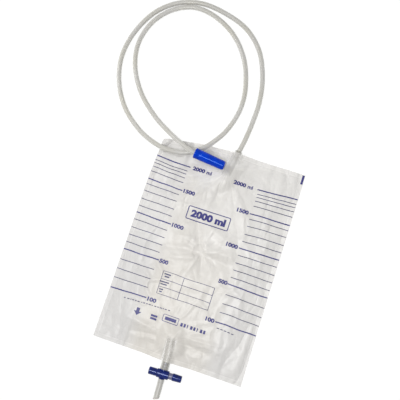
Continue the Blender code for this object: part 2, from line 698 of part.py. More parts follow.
def tap_knobs(material, parent):
    """The two knobs, pressed onto the plunger's tenons so that they keep it in the hub."""
    socket_r = PLUNGER_TENON_R + SLIDE_GAP
    depth = PLUNGER_TENON + SLIDE_GAP + TOUCH_GAP
    for name, face, way, length, end_r in (
            ("tap_knob_left", KNOB_LEFT_FACE, -1.0, KNOB_LEFT_LENGTH, KNOB_R),
            ("tap_knob_right", KNOB_RIGHT_FACE, 1.0, KNOB_RIGHT_LENGTH, KNOB_RIGHT_END_R)):
        outline = [(depth, 0.0), (depth, socket_r), (0.0, socket_r), (0.0, KNOB_R - KNOB_CHAMFER / 2),
                   (KNOB_CHAMFER / 2, KNOB_R), (length - KNOB_CHAMFER, end_r),
                   (length - 0.3 * KNOB_CHAMFER, end_r - 0.3 * KNOB_CHAMFER),
                   (length, end_r - KNOB_CHAMFER), (length, 0.0)]
        outline = [(face + way * station, radius) for station, radius in outline]
        place(name, turned(name, outline), material, parent)


# The connector and its cap

def catheter_connector(material, parent):
    """A socket for the tube, a collar that the cap grips, and a stepped nozzle."""
    socket_r = TUBE_R + SLIDE_GAP
    start = CONNECTOR_INSET
    shoulder = start + CONNECTOR_SOCKET + CONNECTOR_STOP
    tip = shoulder + CONNECTOR_NOZZLE
    outline = [(start, socket_r), (start, CONNECTOR_COLLAR_R - TOUCH_GAP),
               (start + TOUCH_GAP, CONNECTOR_COLLAR_R),
               (start + CONNECTOR_COLLAR, CONNECTOR_COLLAR_R - TOUCH_GAP),
               (start + CONNECTOR_COLLAR, CONNECTOR_BARREL_R), (shoulder, CONNECTOR_BARREL_R)]
    pitch = CONNECTOR_NOZZLE / CONNECTOR_STEPS
    for i in range(CONNECTOR_STEPS):
        at = shoulder + pitch * i
        radius = mix(CONNECTOR_SHOULDER_R, CONNECTOR_TIP_R, i / (CONNECTOR_STEPS - 1))
        outline += [(at, radius), (at + 0.85 * pitch, radius - CONNECTOR_STEP)]
    outline += [(tip, CONNECTOR_TIP_R - CONNECTOR_STEP), (tip, CONNECTOR_BORE_R),
                (start + CONNECTOR_SOCKET, CONNECTOR_BORE_R), (start + CONNECTOR_SOCKET, socket_r)]
    place("catheter_connector", turned("catheter_connector", outline), material, parent)


def connector_cap(material, parent):
    """A tapered blind cap with a lip round its mouth and a rounded nose."""
    nose_bore_r = CAP_NOSE_R - CAP_WALL
    floor = CAP_LENGTH - CAP_FLOOR
    lip_r = CAP_MOUTH_R + CAP_LIP_RISE
    outline = [(floor, 0.0), (floor, nose_bore_r - CAP_WALL), (floor - CAP_WALL, nose_bore_r),
               (0.0, CAP_BORE_R), (0.0, lip_r - CAP_LIP_RISE), (CAP_LIP_RISE, lip_r),
               (CAP_LIP - CAP_LIP_RISE, lip_r), (CAP_LIP, CAP_MOUTH_R)]
    for i in range(NOSE_FACETS):
        angle = math.radians(90.0 * i / NOSE_FACETS)
        outline.append((CAP_LENGTH - CAP_NOSE_ROUND * (1.0 - math.sin(angle)),
                        CAP_NOSE_R - CAP_NOSE_ROUND * (1.0 - math.cos(angle))))
    outline += [(CAP_LENGTH, CAP_NOSE_R - CAP_NOSE_ROUND), (CAP_LENGTH, 0.0)]
    place("connector_cap", turned("connector_cap", outline), material, parent)


def main():
    """Build every sub-part."""
    clear_scene()
    clear_film = finish("clear film", (0.87, 0.87, 0.86), 0.25, 0.45)
    clear_tube = finish("clear tube", (0.80, 0.81, 0.77), 0.3, 0.7)
    natural = finish("natural plastic", (0.86, 0.86, 0.86), 0.4)
    navy = finish("navy plastic", (0.02, 0.03, 0.24), 0.25)
    royal = finish("royal blue plastic", (0.0, 0.08, 0.6), 0.25)
    seal = finish("seal rubber", (0.12, 0.12, 0.13), 0.6)

    bag = holder("bag", (0.0, BAG_Y, 0.0))
    film("bag_front_film", 0, clear_film, bag)
    film("bag_back_film", 1, clear_film.copy(), bag)
    sleeve_film("nonreturn_film_front", 0, clear_film.copy(), bag)
    sleeve_film("nonreturn_film_back", 1, clear_film.copy(), bag)
    inlet_port(clear_tube, bag)
    outlet_tube(clear_tube.copy(), bag)
    drain_tube(clear_tube.copy(), bag)
    inlet_tube(clear_tube.copy(), bag)

    tap = holder("tap", TAP_CENTRE, bag, TAP_TURN)
    tap_body(navy, tap)
    plunger = holder("plunger", (0.0, 0.0, 0.0), tap)
    tap_plunger(natural, plunger)
    seal_rings(seal, plunger)
    tap_knobs(navy.copy(), plunger)

    far_end = holder("far end", CAP_MOUTH, bag, CAP_HEADING)
    catheter_connector(natural.copy(), far_end)
    connector_cap(royal, far_end)


main()
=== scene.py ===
"""A two-litre urine drainage bag, laid flat with its inlet tube looped above it.

The packed model is loaded as a fixed frame, and this file dresses it: creased clear films,
the printed scale, the soft clear tubes, the push-pull tap, the connector and its cap.
Sizes inside the shape functions are millimetres from the middle of the bag.
"""

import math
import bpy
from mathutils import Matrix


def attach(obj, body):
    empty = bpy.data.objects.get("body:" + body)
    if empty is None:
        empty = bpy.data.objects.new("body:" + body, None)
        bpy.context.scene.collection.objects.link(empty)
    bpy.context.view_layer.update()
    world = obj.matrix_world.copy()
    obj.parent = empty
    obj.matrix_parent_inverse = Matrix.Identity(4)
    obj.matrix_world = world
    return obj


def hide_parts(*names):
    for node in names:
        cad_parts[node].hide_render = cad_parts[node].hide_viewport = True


bl_info = {
    "name": "Urine drainage bag",
    "version": (1, 0, 0),
    "blender": (4, 5, 0),
    "location": "3D View > Sidebar > Drainage bag",
    "description": "Dresses a flat two-litre drainage bag: films, print, tubes, tap and cap",
    "category": "Object",
}

import bpy
import bmesh
import numpy as np
from mathutils import Matrix, Vector
from mathutils.bvhtree import BVHTree

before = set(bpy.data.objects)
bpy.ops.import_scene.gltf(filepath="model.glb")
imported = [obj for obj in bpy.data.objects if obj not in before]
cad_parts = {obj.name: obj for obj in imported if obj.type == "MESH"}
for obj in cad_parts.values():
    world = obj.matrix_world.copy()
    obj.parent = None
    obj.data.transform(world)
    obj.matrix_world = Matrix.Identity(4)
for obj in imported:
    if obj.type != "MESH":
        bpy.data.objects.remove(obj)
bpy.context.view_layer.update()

MM = 0.001
BAG_Y = 22.24307            # from the part's origin up to the middle of the bag
TOUCH_GAP = 0.3             # between pieces that are welded to, or lie on, each other
SLIDE_GAP = 0.1             # round what is pressed in or slides

# The bag and its films
BAG_WIDTH = 200.0
BAG_LENGTH = 286.0
TOP_EDGE = BAG_LENGTH / 2
BOTTOM_EDGE = -BAG_LENGTH / 2
FILM_WALL = 0.2
WELD_WIDTH = 5.0
WELD_FLARE = 30.0           # how far from a port the welded edge comes back to the ground
WELD_BLEND = 10.0           # how far down the bag the flare at a port fades out
WELD_HUG = 1.5              # how many tube radii to each side the films leave a port
EDGE_FADE = 11.0            # how far in from the weld the front film is free to rise
PILLOW_RISE = 6.5
RIDGE_SPREAD = 22.0         # how far the front film tents to each side of a port
# Where a port presses the back film flat: how far to each side, from which height, over what length
INLET_PRESS = (22.0, 40.0, 20.0)
OUTLET_PRESS = (16.0, -96.0, 8.0)
CORNER_REACH = 65.0         # how much of the bag its crumpled top left corner takes in
CORNER_PULL = (3.0, -9.6)
CORNER_LIFT = 3.0
CORNER_CREST = 0.72         # share of the pull at which the corner starts to rise
FRONT_SEED = 11
BACK_SEED = 5

# Ports, sleeve and drain
TUBE_SOCKET_R = 3.4         # bore that takes the inlet tube
TUBE_GRIP = 12.0            # how far the inlet tube goes into the port
TUBE_STEP = 3.6
TUBE_LEAD = 3.0             # straight before the tube bends, outside a socket
GROUND_GAP = 0.05
INLET_X = 5.3
INLET_LEAN = math.radians(10.4)
INLET_AXIS = np.array((math.sin(INLET_LEAN), math.cos(INLET_LEAN), 0.0))
INLET_R = 5.0
INLET_DEPTH = 31.0
INLET_PROUD = 3.0
SLEEVE_WALL = 0.15
SLEEVE_WIDTH = 34.0
SLEEVE_LENGTH = 58.0
SLEEVE_GRIP = 7.0
SLEEVE_ROWS = 60
SLEEVE_COLUMNS = 36
INLET_WRAP_R = INLET_R + 2 * TOUCH_GAP + SLEEVE_WALL
INLET_Z = FILM_WALL + INLET_WRAP_R
INLET_CREST = INLET_Z + INLET_WRAP_R
INLET_MOUTH = np.array((INLET_X, TOP_EDGE, INLET_Z)) + INLET_PROUD * INLET_AXIS
OUTLET_X = 1.8
OUTLET_SWAY = 1.8           # the outlet's inner end curves this far to the left
OUTLET_MIDDLE_X = -0.6      # middle of the outlet inside the bag, for the clearer film over it
OUTLET_R = 5.5
OUTLET_BORE_R = 4.1
OUTLET_DEPTH = 32.0
OUTLET_HANG = 9.6
OUTLET_WRAP_R = OUTLET_R + TOUCH_GAP
OUTLET_Z = FILM_WALL + OUTLET_WRAP_R
OUTLET_CREST = OUTLET_Z + OUTLET_WRAP_R
DRAIN_R = 3.95
DRAIN_BORE_R = 2.8
DRAIN_LENGTH = 24.8
DRAIN_SLANT = 1.4           # the free end is cut a little out of square

# The tap, with stations across it from its middle
PORT_R = 1.6
SEAL_GROOVE = 1.0
SEAL_GROOVE_R = 3.1
SEAL_LAND = 0.25
INNER_SEAL = PORT_R + SEAL_LAND + SEAL_GROOVE / 2
WAIST_START = INNER_SEAL + SEAL_GROOVE / 2 + SEAL_LAND
WAIST_END = WAIST_START + 2 * PORT_R
WAIST_R = 2.3
OUTER_SEAL = WAIST_END + SEAL_LAND + SEAL_GROOVE / 2
HUB_R = 5.5
HUB_BORE_R = 4.1
HUB_HALF = OUTER_SEAL + SEAL_GROOVE / 2 + SEAL_LAND
PLUNGER_R = HUB_BORE_R - SLIDE_GAP
PLUNGER_TRAVEL = (WAIST_START + WAIST_END) / 2
TENON = 7.0
TENON_R = 2.6
KNOB_R = 4.7
KNOB_RIGHT_END_R = 4.3
KNOB_LEFT_LENGTH = 10.4
KNOB_RIGHT_LENGTH = 11.9
KNOB_LEFT = -HUB_HALF - TOUCH_GAP
KNOB_RIGHT = HUB_HALF + PLUNGER_TRAVEL + TOUCH_GAP
COLLAR_R = 5.0
STUB_ROOT = 4.6             # where the stubs start, inside the hub's wall
STUB_SEAT = 5.9
STUB_RIB = 0.3
STUB_RIBS = 3
UPPER_STUB = 9.0
LOWER_STUB = 7.0
TUBE_SEAT = STUB_SEAT + TOUCH_GAP
TAP_TURN = math.radians(2.6)
TAP_UP = np.array((-math.sin(TAP_TURN), math.cos(TAP_TURN), 0.0))
TAP = np.array((OUTLET_X, BOTTOM_EDGE - OUTLET_HANG - TUBE_SEAT * TAP_UP[1], OUTLET_Z))
STUB_END = TAP[1] + (STUB_SEAT + UPPER_STUB) * TAP_UP[1]

# The connector and its cap, with stations along them from the cap's mouth
CAP_HEADING = math.radians(-7.0)
CAP_AXIS = np.array((math.cos(CAP_HEADING), math.sin(CAP_HEADING), 0.0))
CAP_LENGTH = 42.8
CAP_MOUTH_R = 7.0
CAP_NOSE_R = 6.2
CAP_WALL = 1.1
CAP_FLOOR = 1.8
CAP_LIP = 1.8
CAP_NOSE_ROUND = 2.6
CAP_MOUTH = np.array((-48.2, TOP_EDGE - 19.3, INLET_CREST + FILM_WALL + TOUCH_GAP + CAP_MOUTH_R))
CONNECTOR_START = 1.2
COLLAR_END = CONNECTOR_START + 4.0
SOCKET_END = CONNECTOR_START + 12.0
NOZZLE_START = SOCKET_END + 1.5
NOZZLE_LENGTH = 20.0
NOZZLE_STEPS = 4
NOZZLE_R = 4.4
NOZZLE_STEP = 0.5
BARREL_R = 4.7
CONNECTOR_BORE_R = 1.9

# Rises of the front film under the capped end of the tube: how far from the cap's mouth,
# reach across and height
MOUNDS = ((-7.0, 34.0, 4.9), (39.0, 30.0, 10.8))
MOUND_REACH_Y = 22.0

# Broad folds of the front film: start, end, height and half width
FOLDS = (
    ((-4, 104), (-52, 58), 2.2, 9), ((6, 104), (38, 66), 1.5, 9), ((-2, 92), (-1, 44), -1.6, 10),
    ((-46, 60), (-50, 20), 1.4, 12), ((-4, -6), (-36, -14), 2.6, 6), ((-17, 36), (-2, 5), -2.6, 6),
    ((2, 5), (38, 9), 2.6, 6), ((0, -2), (10, -26), -2.0, 6), ((0, 38), (28, 25), 2.0, 6),
    ((-6, 2), (-46, -4), -2.2, 5), ((4, 1), (37, -4), -1.8, 5), ((14, -106), (74, -114), 2.0, 7),
    ((22, -122), (80, -104), -1.0, 7), ((-16, -116), (-74, -104), 1.6, 8),
    ((70, 100), (74, 10), 1.3, 8), ((58, 118), (80, 60), -1.0, 9), ((-72, 90), (-80, -20), 1.2, 9),
)

# Fine creases that spread from a point: the point, the heading in degrees, length, height
# and half width
CREASES = (
    ((-2, 106), -136, 62, 0.9, 3.2), ((-1, 104), -118, 52, -0.7, 3.5), ((0, 104), -103, 58, 0.8, 3.0),
    ((1, 102), -84, 48, -0.9, 3.6), ((2, 104), -68, 66, 1.1, 3.2), ((4, 106), -48, 46, 0.7, 3.4),
    ((2, 1), 158, 44, 0.9, 3.2), ((2, 1), 120, 30, -0.7, 3.4), ((2, 1), 88, 40, 0.8, 2.8),
    ((3, 1), 52, 34, -0.6, 3.2), ((3, 1), 20, 40, 0.9, 3.0), ((3, 0), -22, 38, -0.7, 3.0),
    ((2, -1), -48, 36, 0.8, 3.0), ((1, -1), -80, 30, -0.6, 2.8), ((0, -1), -113, 42, 0.9, 3.2),
    ((0, 1), -160, 46, -0.8, 3.2), ((8, -108), 3, 66, 1.0, 2.8), ((10, -112), -9, 60, -0.9, 3.0),
    ((9, -118), -20, 44, 0.7, 2.6), ((8, -104), 24, 46, 0.7, 2.8), ((-10, -110), 172, 62, 0.9, 3.0),
    ((-9, -116), 188, 56, -0.8, 2.8), ((-8, -104), 152, 44, 0.6, 2.8), ((-52, 60), -96, 60, 0.7, 3.4),
    ((38, 66), -80, 54, 0.6, 3.2), ((52, 126), -58, 40, 0.8, 2.8), ((66, 130), -84, 44, -0.7, 2.8),
    ((84, 130), -94, 50, 0.7, 2.6), ((76, 60), -92, 74, 0.6, 2.4), ((86, 30), -90, 80, -0.6, 2.4),
    ((68, -20), -84, 66, 0.7, 2.6), ((88, -50), -98, 50, 0.6, 2.2), ((-84, 60), -95, 84, 0.5, 2.6),
    ((-70, 10), -100, 70, -0.5, 2.8), ((-88, -60), -80, 54, 0.6, 2.6), ((30, -40), 10, 52, 0.5, 3.0),
)

# Where the smallest creases spread from: the place, up or down the bag, spokes and reach
FANS = (((1, 116), -1.0, 2.6, 110.0), ((0, 3), -1.0, 1.1, 60.0), ((0, -116), 1.0, 1.4, 60.0))

# The inlet tube's route from the port to the connector
ROUTE = (
    (8.6, 163, 4.9), (11.0, 190, 3.35), (11.2, 222, 3.35), (4.9, 256, 3.35),
    (-11, 291.5, 3.35), (-38, 317.5, 3.35), (-74, 331.2, 3.35), (-110, 335.4, 3.35),
    (-143.4, 325.4, 3.35), (-170, 301.5, 3.35), (-187, 265.5, 3.35), (-191.8, 228, 3.35),
    (-183, 191.5, 3.35), (-162.5, 158.6, 3.35), (-133, 134.6, 3.4), (-103, 122, 5.5),
    (-78, 119.4, 7.4), (-60, 123, 9.5), (-45, 132.6, 8.8), (-32, 147, 5.9),
    (-18.5, 171, 3.5), (-10.6, 203, 3.35), (-13.2, 236, 3.35), (-27, 273, 3.35),
    (-52, 303.5, 3.35), (-85.5, 322.4, 3.35), (-118, 326.6, 3.35), (-147.2, 313.0, 3.35),
    (-168, 286.5, 3.35), (-175.8, 252, 3.35), (-168, 217, 3.35), (-147, 184, 3.35),
    (-118, 158.5, 3.7), (-93, 143.2, 7.6), (-75, 133.6, 13.4), (-62.5, 127.6, 17.6),
)

# The printed scale: each volume and its line's distance below the 2000 line
LEVELS = (
    (2000, 0.0), (1900, 6.0), (1800, 10.2), (1700, 15.4), (1600, 22.0), (1500, 32.4), (1400, 39.4),
    (1300, 48.7), (1200, 59.4), (1100, 69.0), (1000, 78.8), (900, 88.6), (800, 99.6), (700, 109.8),
    (600, 120.3), (500, 130.3), (400, 144.7), (300, 157.6), (200, 169.7), (100, 183.3),
)
# Heights of the main lines' ends up the bag: left outer, left inner, right inner, right outer
LINE_ENDS = {
    2000: (108.8, 106.4, 104.9, 108.0), 1500: (75.2, 72.7, 70.7, 72.6), 1000: (27.0, 25.0, 23.4, 24.6),
    500: (-24.3, -24.4, -24.9, -26.7), 100: (-76.8, -75.8, -75.9, -77.1),
}

# Ends of the scale lines to each side of the bag's middle line
LINE_OUTER = 99.5
MAIN_INNER = (-49.6, 44.8)
FINE_INNER = (-52.0, 46.5)
# The figures at a level: volume, left edge of the left and of the right ones, and their width
FIGURES = (
    (2000, -46.0, 12.0, 17.0), (1500, -48.0, 27.2, 16.0), (1000, -48.0, 27.4, 16.0),
    (500, -48.6, 32.6, 12.0), (100, -47.8, 31.6, 12.0),
)
FIGURE_DROP = 2.8
FIGURE_HEIGHT = 5.6
# The table's ruled lines, and strokes in its first column: middle, height up the bag and length
TABLE_ROWS = (-35.6, -45.6, -55.7, -65.3)
TABLE_COLUMNS = (-39.0, -10.4, 31.0)
TABLE_STROKES = ((-32.5, -38.6, 9.0), (-33.5, -48.8, 12.5), (-34.75, -58.8, 5.5))
# The broken line under the left scale: its start, its slope and the lengths of its dashes
BROKEN_START = (-77.6, -84.6)
BROKEN_SLOPE = 0.05
BROKEN_LENGTHS = (2.2, 3.0, 1.5, 2.6)
BROKEN_DASHES = 17
PRINT_START = 50.0          # height from which the lines are laid down on the film
PRINT_CELL = 1.0            # largest cell of the figures, so that they follow the film
# Frames: left, bottom, width, height, corner and line
TITLE_FRAME = (-34.6, 38.6, 58.6, 18.4, 2.4, 1.15)
SMALL_FRAME = (-21.4, -96.6, 21.6, 9.4, 1.6, 0.7)
# Plain blocks: left, bottom, width and height
BLOCKS = (
    (-18.2, -94.0, 15.2, 4.2), (-36.6, -95.4, 8.6, 2.6), (-36.6, -99.2, 8.6, 2.6),
    (-56.8, -95.2, 4.2, 4.6), (96.5, 129.6, 2.9, 12.4),
)
ARROW_TIP = ((-59.8, -95.2, 0.0), (-54.7, -100.2, 0.0), (-49.6, -95.2, 0.0))
# The row of plain strokes beside the small frame, from the left and bottom of its first
STROKE_ROW = (3.4, -95.6)
STROKE_COUNT = 8
STROKE_PITCH = 4.4
STROKE_HEIGHT = 4.4
STROKE_WIDTHS = (3.0, 2.6, 1.2)

# The camera that fits the photo, and the softboxes: place, target, width and height
FOCAL_PIXELS = 522.6
PHOTO_PIXELS = 400.0
SENSOR = 36.0
CAMERA_PLACE = (37.8, -22.0, 691.4)
CAMERA_RIGHT = (0.94855, 0.31361, -0.0436)
CAMERA_BACK = (0.08812, -0.1292, 0.9877)
SOFTBOXES = {
    "key": ((-60, -140, 760), (0, 0, 0), 0.22, 0.3),
    "left": ((-680, 230, 430), (0, 0, 0), 0.2, 0.6),
    "right": ((640, 400, 430), (0, 40, 0), 0.2, 0.6),
}


# Nodes

class Value:
    """A node's output, on which Python's arithmetic adds Math nodes."""

    def __init__(self, tree, socket):
        self.tree = tree
        self.socket = socket

    def maths(self, operation, *others):
        """One Math node of this output and the others."""
        inputs = dict(enumerate((self,) + others))
        return self.tree.add("ShaderNodeMath", {"operation": operation}, inputs)

    def __add__(self, other):
        return self.maths("ADD", other)

    __radd__ = __add__

    def __mul__(self, other):
        return self.maths("MULTIPLY", other)

    __rmul__ = __mul__

    def __sub__(self, other):
        return self.maths("SUBTRACT", other)

    def __rsub__(self, other):
        return self.tree.add("ShaderNodeMath", {"operation": "SUBTRACT"}, {0: other, 1: self})

    def __truediv__(self, other):
        return self.maths("DIVIDE", other)

    def __abs__(self):
        return self.maths("ABSOLUTE")

    def lowest(self, other):
        """The smaller of two values."""
        return self.maths("MINIMUM", other)

    def highest(self, other):
        """The larger of two values."""
        return self.maths("MAXIMUM", other)

    def sine(self):
        """The sine of a value in radians."""
        return self.maths("SINE")

    def eased(self, low, high):
        """0 below low and 1 above high, with an easy slope between."""
        settings = {"interpolation_type": "SMOOTHSTEP"}
        return self.tree.add("ShaderNodeMapRange", settings, {0: self, 1: low, 2: high})


class Tree:
    """A node tree to which every node is added by one method."""

    def __init__(self, nodes):
        self.nodes = nodes

    def add(self, kind, settings=None, inputs=None, output=0):
        """Add a node, make its settings, fill its sockets, and return one of its outputs."""
        node = self.nodes.nodes.new(kind)
        for key, value in (settings or {}).items():
            setattr(node, key, value)
        for key, value in (inputs or {}).items():
            if isinstance(value, Value):
                self.nodes.links.new(value.socket, node.inputs[key])
            else:
                node.inputs[key].default_value = value
        return Value(self, node.outputs[output]) if node.outputs else None

    def outputs(self, kind):
        """Add a node and return all its named outputs."""
        sockets = self.add(kind).socket.node.outputs
        return {socket.name: Value(self, socket) for socket in sockets if socket.name}

    def parts(self, vector):
        """The three numbers of a vector."""
        first = self.add("ShaderNodeSeparateXYZ", None, {0: vector})
        return [Value(self, socket) for socket in first.socket.node.outputs]

    def vector(self, x=0.0, y=0.0, z=0.0):
        """Three numbers as a vector."""
        return self.add("ShaderNodeCombineXYZ", None, {0: x, 1: y, 2: z})

    def background_rays(self):
        """1 for rays that show the background: the camera's, and those in gloss and clear plastic."""
        rays = self.outputs("ShaderNodeLightPath")
        seen = rays["Is Camera Ray"].highest(rays["Is Glossy Ray"])
        return seen.highest(rays["Is Transmission Ray"])


class Paint(Tree):
    """A material: a Principled surface whose varying sockets take worked-out values."""

    def __init__(self, name):
        self.material = bpy.data.materials.new(name)
        self.material.use_nodes = True
        self.material.node_tree.nodes.clear()
        super().__init__(self.material.node_tree)

    def place(self):
        """Where a point lies on the piece, in metres."""
        return self.add("ShaderNodeTexCoord", None, None, "Object")

    def noise(self, where, size, detail=2.0, distortion=0.0):
        """Soft noise, from 0 to 1, whose features are about size millimetres across."""
        sockets = {"Vector": where, "Scale": 1.0 / (size * MM), "Detail": detail, "Distortion": distortion}
        return self.add("ShaderNodeTexNoise", None, sockets, "Fac")

    def blend(self, share, first, second):
        """From one colour to another."""
        return self.add("ShaderNodeMix", {"data_type": "RGBA"}, {0: share, 6: first, 7: second}, 2)

    def folded(self, where, size, stretch):
        """Crisp creases along the middle level of a soft noise, drawn out along the bag."""
        drawn = self.add("ShaderNodeVectorMath", {"operation": "MULTIPLY"},
                         {0: where, 1: (1.0, stretch, 1.0)})
        return abs(self.noise(drawn, size, 0.0, 0.5) - 0.5)

    def fan(self, where, centre, way, spokes, reach):
        """Creases that spread from a place: their height, and how near their lines a point is."""
        x, y, _ = self.parts(where)
        x = x - centre[0] * MM
        y = (y - (centre[1] + BAG_Y) * MM) * way
        away = (x * x + y * y).maths("SQRT")
        spot = self.vector(x.maths("ARCTAN2", y) * spokes, away * 18.0, centre[1])
        wave = abs(self.noise(spot, 1000.0, 0.0, 0.25) - 0.5)
        share = 1.0 - away.eased(0.35 * reach * MM, reach * MM)
        return wave * away * share, (1.0 - wave.eased(0.0, 0.07)) * share

    def bump(self, height, depth, strength=1.0, under=None):
        """A normal raised by a height from 0 to 1 that stands for depth millimetres."""
        sockets = {"Strength": strength, "Distance": depth * MM, "Height": height}
        if under is not None:
            sockets["Normal"] = under
        return self.add("ShaderNodeBump", None, sockets, "Normal")

    def surface(self, **sockets):
        """End the tree in a Principled shader. A socket's name has its spaces as underlines."""
        named = {key.replace("_", " "): value for key, value in sockets.items()}
        shader = self.add("ShaderNodeBsdfPrincipled", None, named)
        self.add("ShaderNodeOutputMaterial", None, {"Surface": shader})
        return self.material


def shade(red, green, blue):
    """A colour with full opacity."""
    return (red, green, blue, 1.0)


# Finishes

def film_finish(name, look, opacity):
    """Soft clear film: clouded and crumpled, with a welded band, clearer where it wets the ports; painted
    light makes it lighter toward the top and the right, and painted highlights run along its sharpest
    creases.
    """
    paint = Paint(name)
    flat = paint.add("ShaderNodeUVMap", {"uv_map": "flat"})
    across, along, _ = paint.parts(flat)
    side = (0.5 - abs(across - 0.5)) * BAG_WIDTH
    end = (0.5 - abs(along - 0.5)) * BAG_LENGTH
    edge = side.lowest(end)
    weld = edge.eased(0.2, 0.9) * (1.0 - edge.eased(WELD_WIDTH - 0.5, WELD_WIDTH + 0.2))
    seam = edge.eased(WELD_WIDTH - 0.4, WELD_WIDTH + 0.2)
    seam = seam * (1.0 - edge.eased(WELD_WIDTH + 0.3, WELD_WIDTH + 1.2))
    from_outlet = abs((across - 0.5) * BAG_WIDTH - OUTLET_MIDDLE_X)
    wet = (1.0 - from_outlet.eased(5.0, 8.0)) * (1.0 - along.eased(0.098, 0.116))
    from_inlet = (across - 0.5) * BAG_WIDTH - (along - 1.0) * (BAG_LENGTH * math.tan(INLET_LEAN)) - INLET_X
    wet = wet.highest((1.0 - abs(from_inlet).eased(4.5, 7.0)) * along.eased(0.87, 0.89) * 0.85)
    where = paint.place()
    cloud = paint.noise(where, 60.0, 3.0, 0.6)
    mottle = paint.noise(where, 13.0, 3.0, 0.8)
    flanks = 1.0 - side.eased(34.0, 62.0)
    broad = paint.folded(where, 38.0, 0.6) * (0.4 - 0.4 * flanks) + paint.folded(where, 24.0, 0.3) * flanks
    small = paint.folded(where, 12.0, 0.5)
    heights, lines = zip(*[paint.fan(where, *fan) for fan in FANS])
    spread = heights[0] + heights[1] + heights[2]
    creased = lines[0].highest(lines[1]).highest(lines[2])
    creased = creased * paint.noise(where, 20.0, 1.0).eased(0.35, 0.65)
    colour = paint.blend(flanks * 0.8, look.cream, look.cool)
    # Painted light: toward the top of the bag and toward its right side the film is drawn toward the pale
    # colour of its cloudy patches, to lift the shade there; the cloud term is the film's own random clouding.
    haze_and_painted_light = cloud.eased(0.35, 0.7) * 0.3 + along.eased(0.15, 0.95) * 0.7 + (across - 0.5) * 0.9
    colour = paint.blend(haze_and_painted_light, colour, look.haze)
    # Painted highlight: the sharpest creases are drawn toward a cream white, standing in for the sheen along
    # their ridges.
    colour = paint.blend(creased * 0.22, colour, look.stress)
    alpha = opacity + (cloud - 0.5) * 0.16 + (mottle - 0.5) * 0.10
    alpha = alpha + (weld * 0.10 + seam * 0.16) * (1.0 - wet) - wet * 0.38 + creased * 0.05
    ribs = ((edge * (2.0 * math.pi / 1.25)).sine() * 0.5 + 0.5) * weld
    normal = paint.bump(broad, look.fold_depth)
    normal = paint.bump(small, 0.25 * look.fold_depth, 1.0, normal)
    normal = paint.bump(spread, look.spread_slope / MM, 1.0, normal)
    normal = paint.bump(paint.noise(where, 9.0, 3.0, 1.2), look.wrinkle_depth, 1.0, normal)
    normal = paint.bump(ribs, 0.05, 0.7, normal)
    rough = look.roughness + (mottle - 0.5) * 0.12 + weld * 0.10
    return paint.surface(Base_Color=colour, Roughness=rough, Alpha=alpha, Normal=normal, IOR=1.5,
                         Specular_IOR_Level=0.4)


def tube_finish(name, look, opacity, streaks, rim=0.6):
    """Soft clear tube: see-through in the middle, streaked by its bore, denser along its wall; the streaks
    and the edges seen along the wall are darkened as painted shade.
    """
    paint = Paint(name)
    where = paint.place()
    facing = paint.add("ShaderNodeLayerWeight", None, {"Blend": 0.5}, "Facing")
    drift = paint.noise(where, 45.0, 2.0)
    grain = paint.noise(where, 3.0, 2.0)
    bore = facing.eased(0.02, 0.10) * (1.0 - facing.eased(0.28, 0.50))
    colour = paint.blend(drift.eased(0.35, 0.65), look.clear, look.tint)
    # Painted shade: where the bore shows and where the wall is seen edge-on, the colour goes toward the dark
    # edge colour, standing in for how the clear wall bends the light; the higher opacity there is the thicker
    # wall.
    colour = paint.blend(bore * streaks, colour, look.edge)
    colour = paint.blend(facing.eased(0.60, 0.98) * rim, colour, look.edge)
    alpha = opacity + facing.eased(0.25, 0.9) * (0.95 - opacity)
    alpha = alpha + (drift - 0.5) * 0.14 + bore * (0.25 * streaks)
    rough = look.roughness + (grain - 0.5) * 0.08
    normal = paint.bump(paint.noise(where, 6.0, 2.0), 0.08)
    return paint.surface(Base_Color=colour, Roughness=rough, Alpha=alpha, Normal=normal, IOR=1.5,
                         Specular_IOR_Level=0.5, Specular_Tint=shade(0.72, 0.72, 0.68))


def moulded_finish(name, colour, deep, roughness, gloss=0.5, glint=(1.0, 1.0, 1.0)):
    """Glossy moulded plastic: slight flow marks, and a fine skin that breaks the gloss."""
    paint = Paint(name)
    where = paint.place()
    flow = paint.noise(where, 14.0, 2.0, 0.6)
    grain = paint.noise(where, 0.7, 2.0)
    tone = paint.blend(flow.eased(0.3, 0.75), shade(*colour), shade(*deep))
    rough = roughness + (paint.noise(where, 5.0, 3.0) - 0.5) * 0.06
    normal = paint.bump(flow, 0.04, 0.6)
    normal = paint.bump(grain, 0.003, 0.6, normal)
    return paint.surface(Base_Color=tone, Roughness=rough, Normal=normal, IOR=1.5,
                         Specular_IOR_Level=gloss, Specular_Tint=shade(*glint))


def rubber_finish(name):
    """Black seal rubber with a faint bloom."""
    paint = Paint(name)
    where = paint.place()
    bloom = paint.noise(where, 1.5, 3.0)
    tone = paint.blend(bloom, shade(0.012, 0.012, 0.014), shade(0.04, 0.04, 0.045))
    return paint.surface(Base_Color=tone, Roughness=0.5 + bloom * 0.2, Normal=paint.bump(bloom, 0.02))


def ink_finish(name, colour, cover):
    """Screen-printed ink: a little uneven in tone and cover."""
    paint = Paint(name)
    where = paint.place()
    patch = paint.noise(where, 7.0, 3.0)
    speck = paint.noise(where, 0.8, 2.0)
    worn = paint.blend(patch.eased(0.35, 0.8) * 0.5, colour, shade(0.06, 0.06, 0.26))
    alpha = cover - speck.eased(0.55, 0.8) * 0.18 - patch.eased(0.5, 0.9) * 0.10
    return paint.surface(Base_Color=worn, Roughness=0.35 + patch * 0.2, Alpha=alpha)


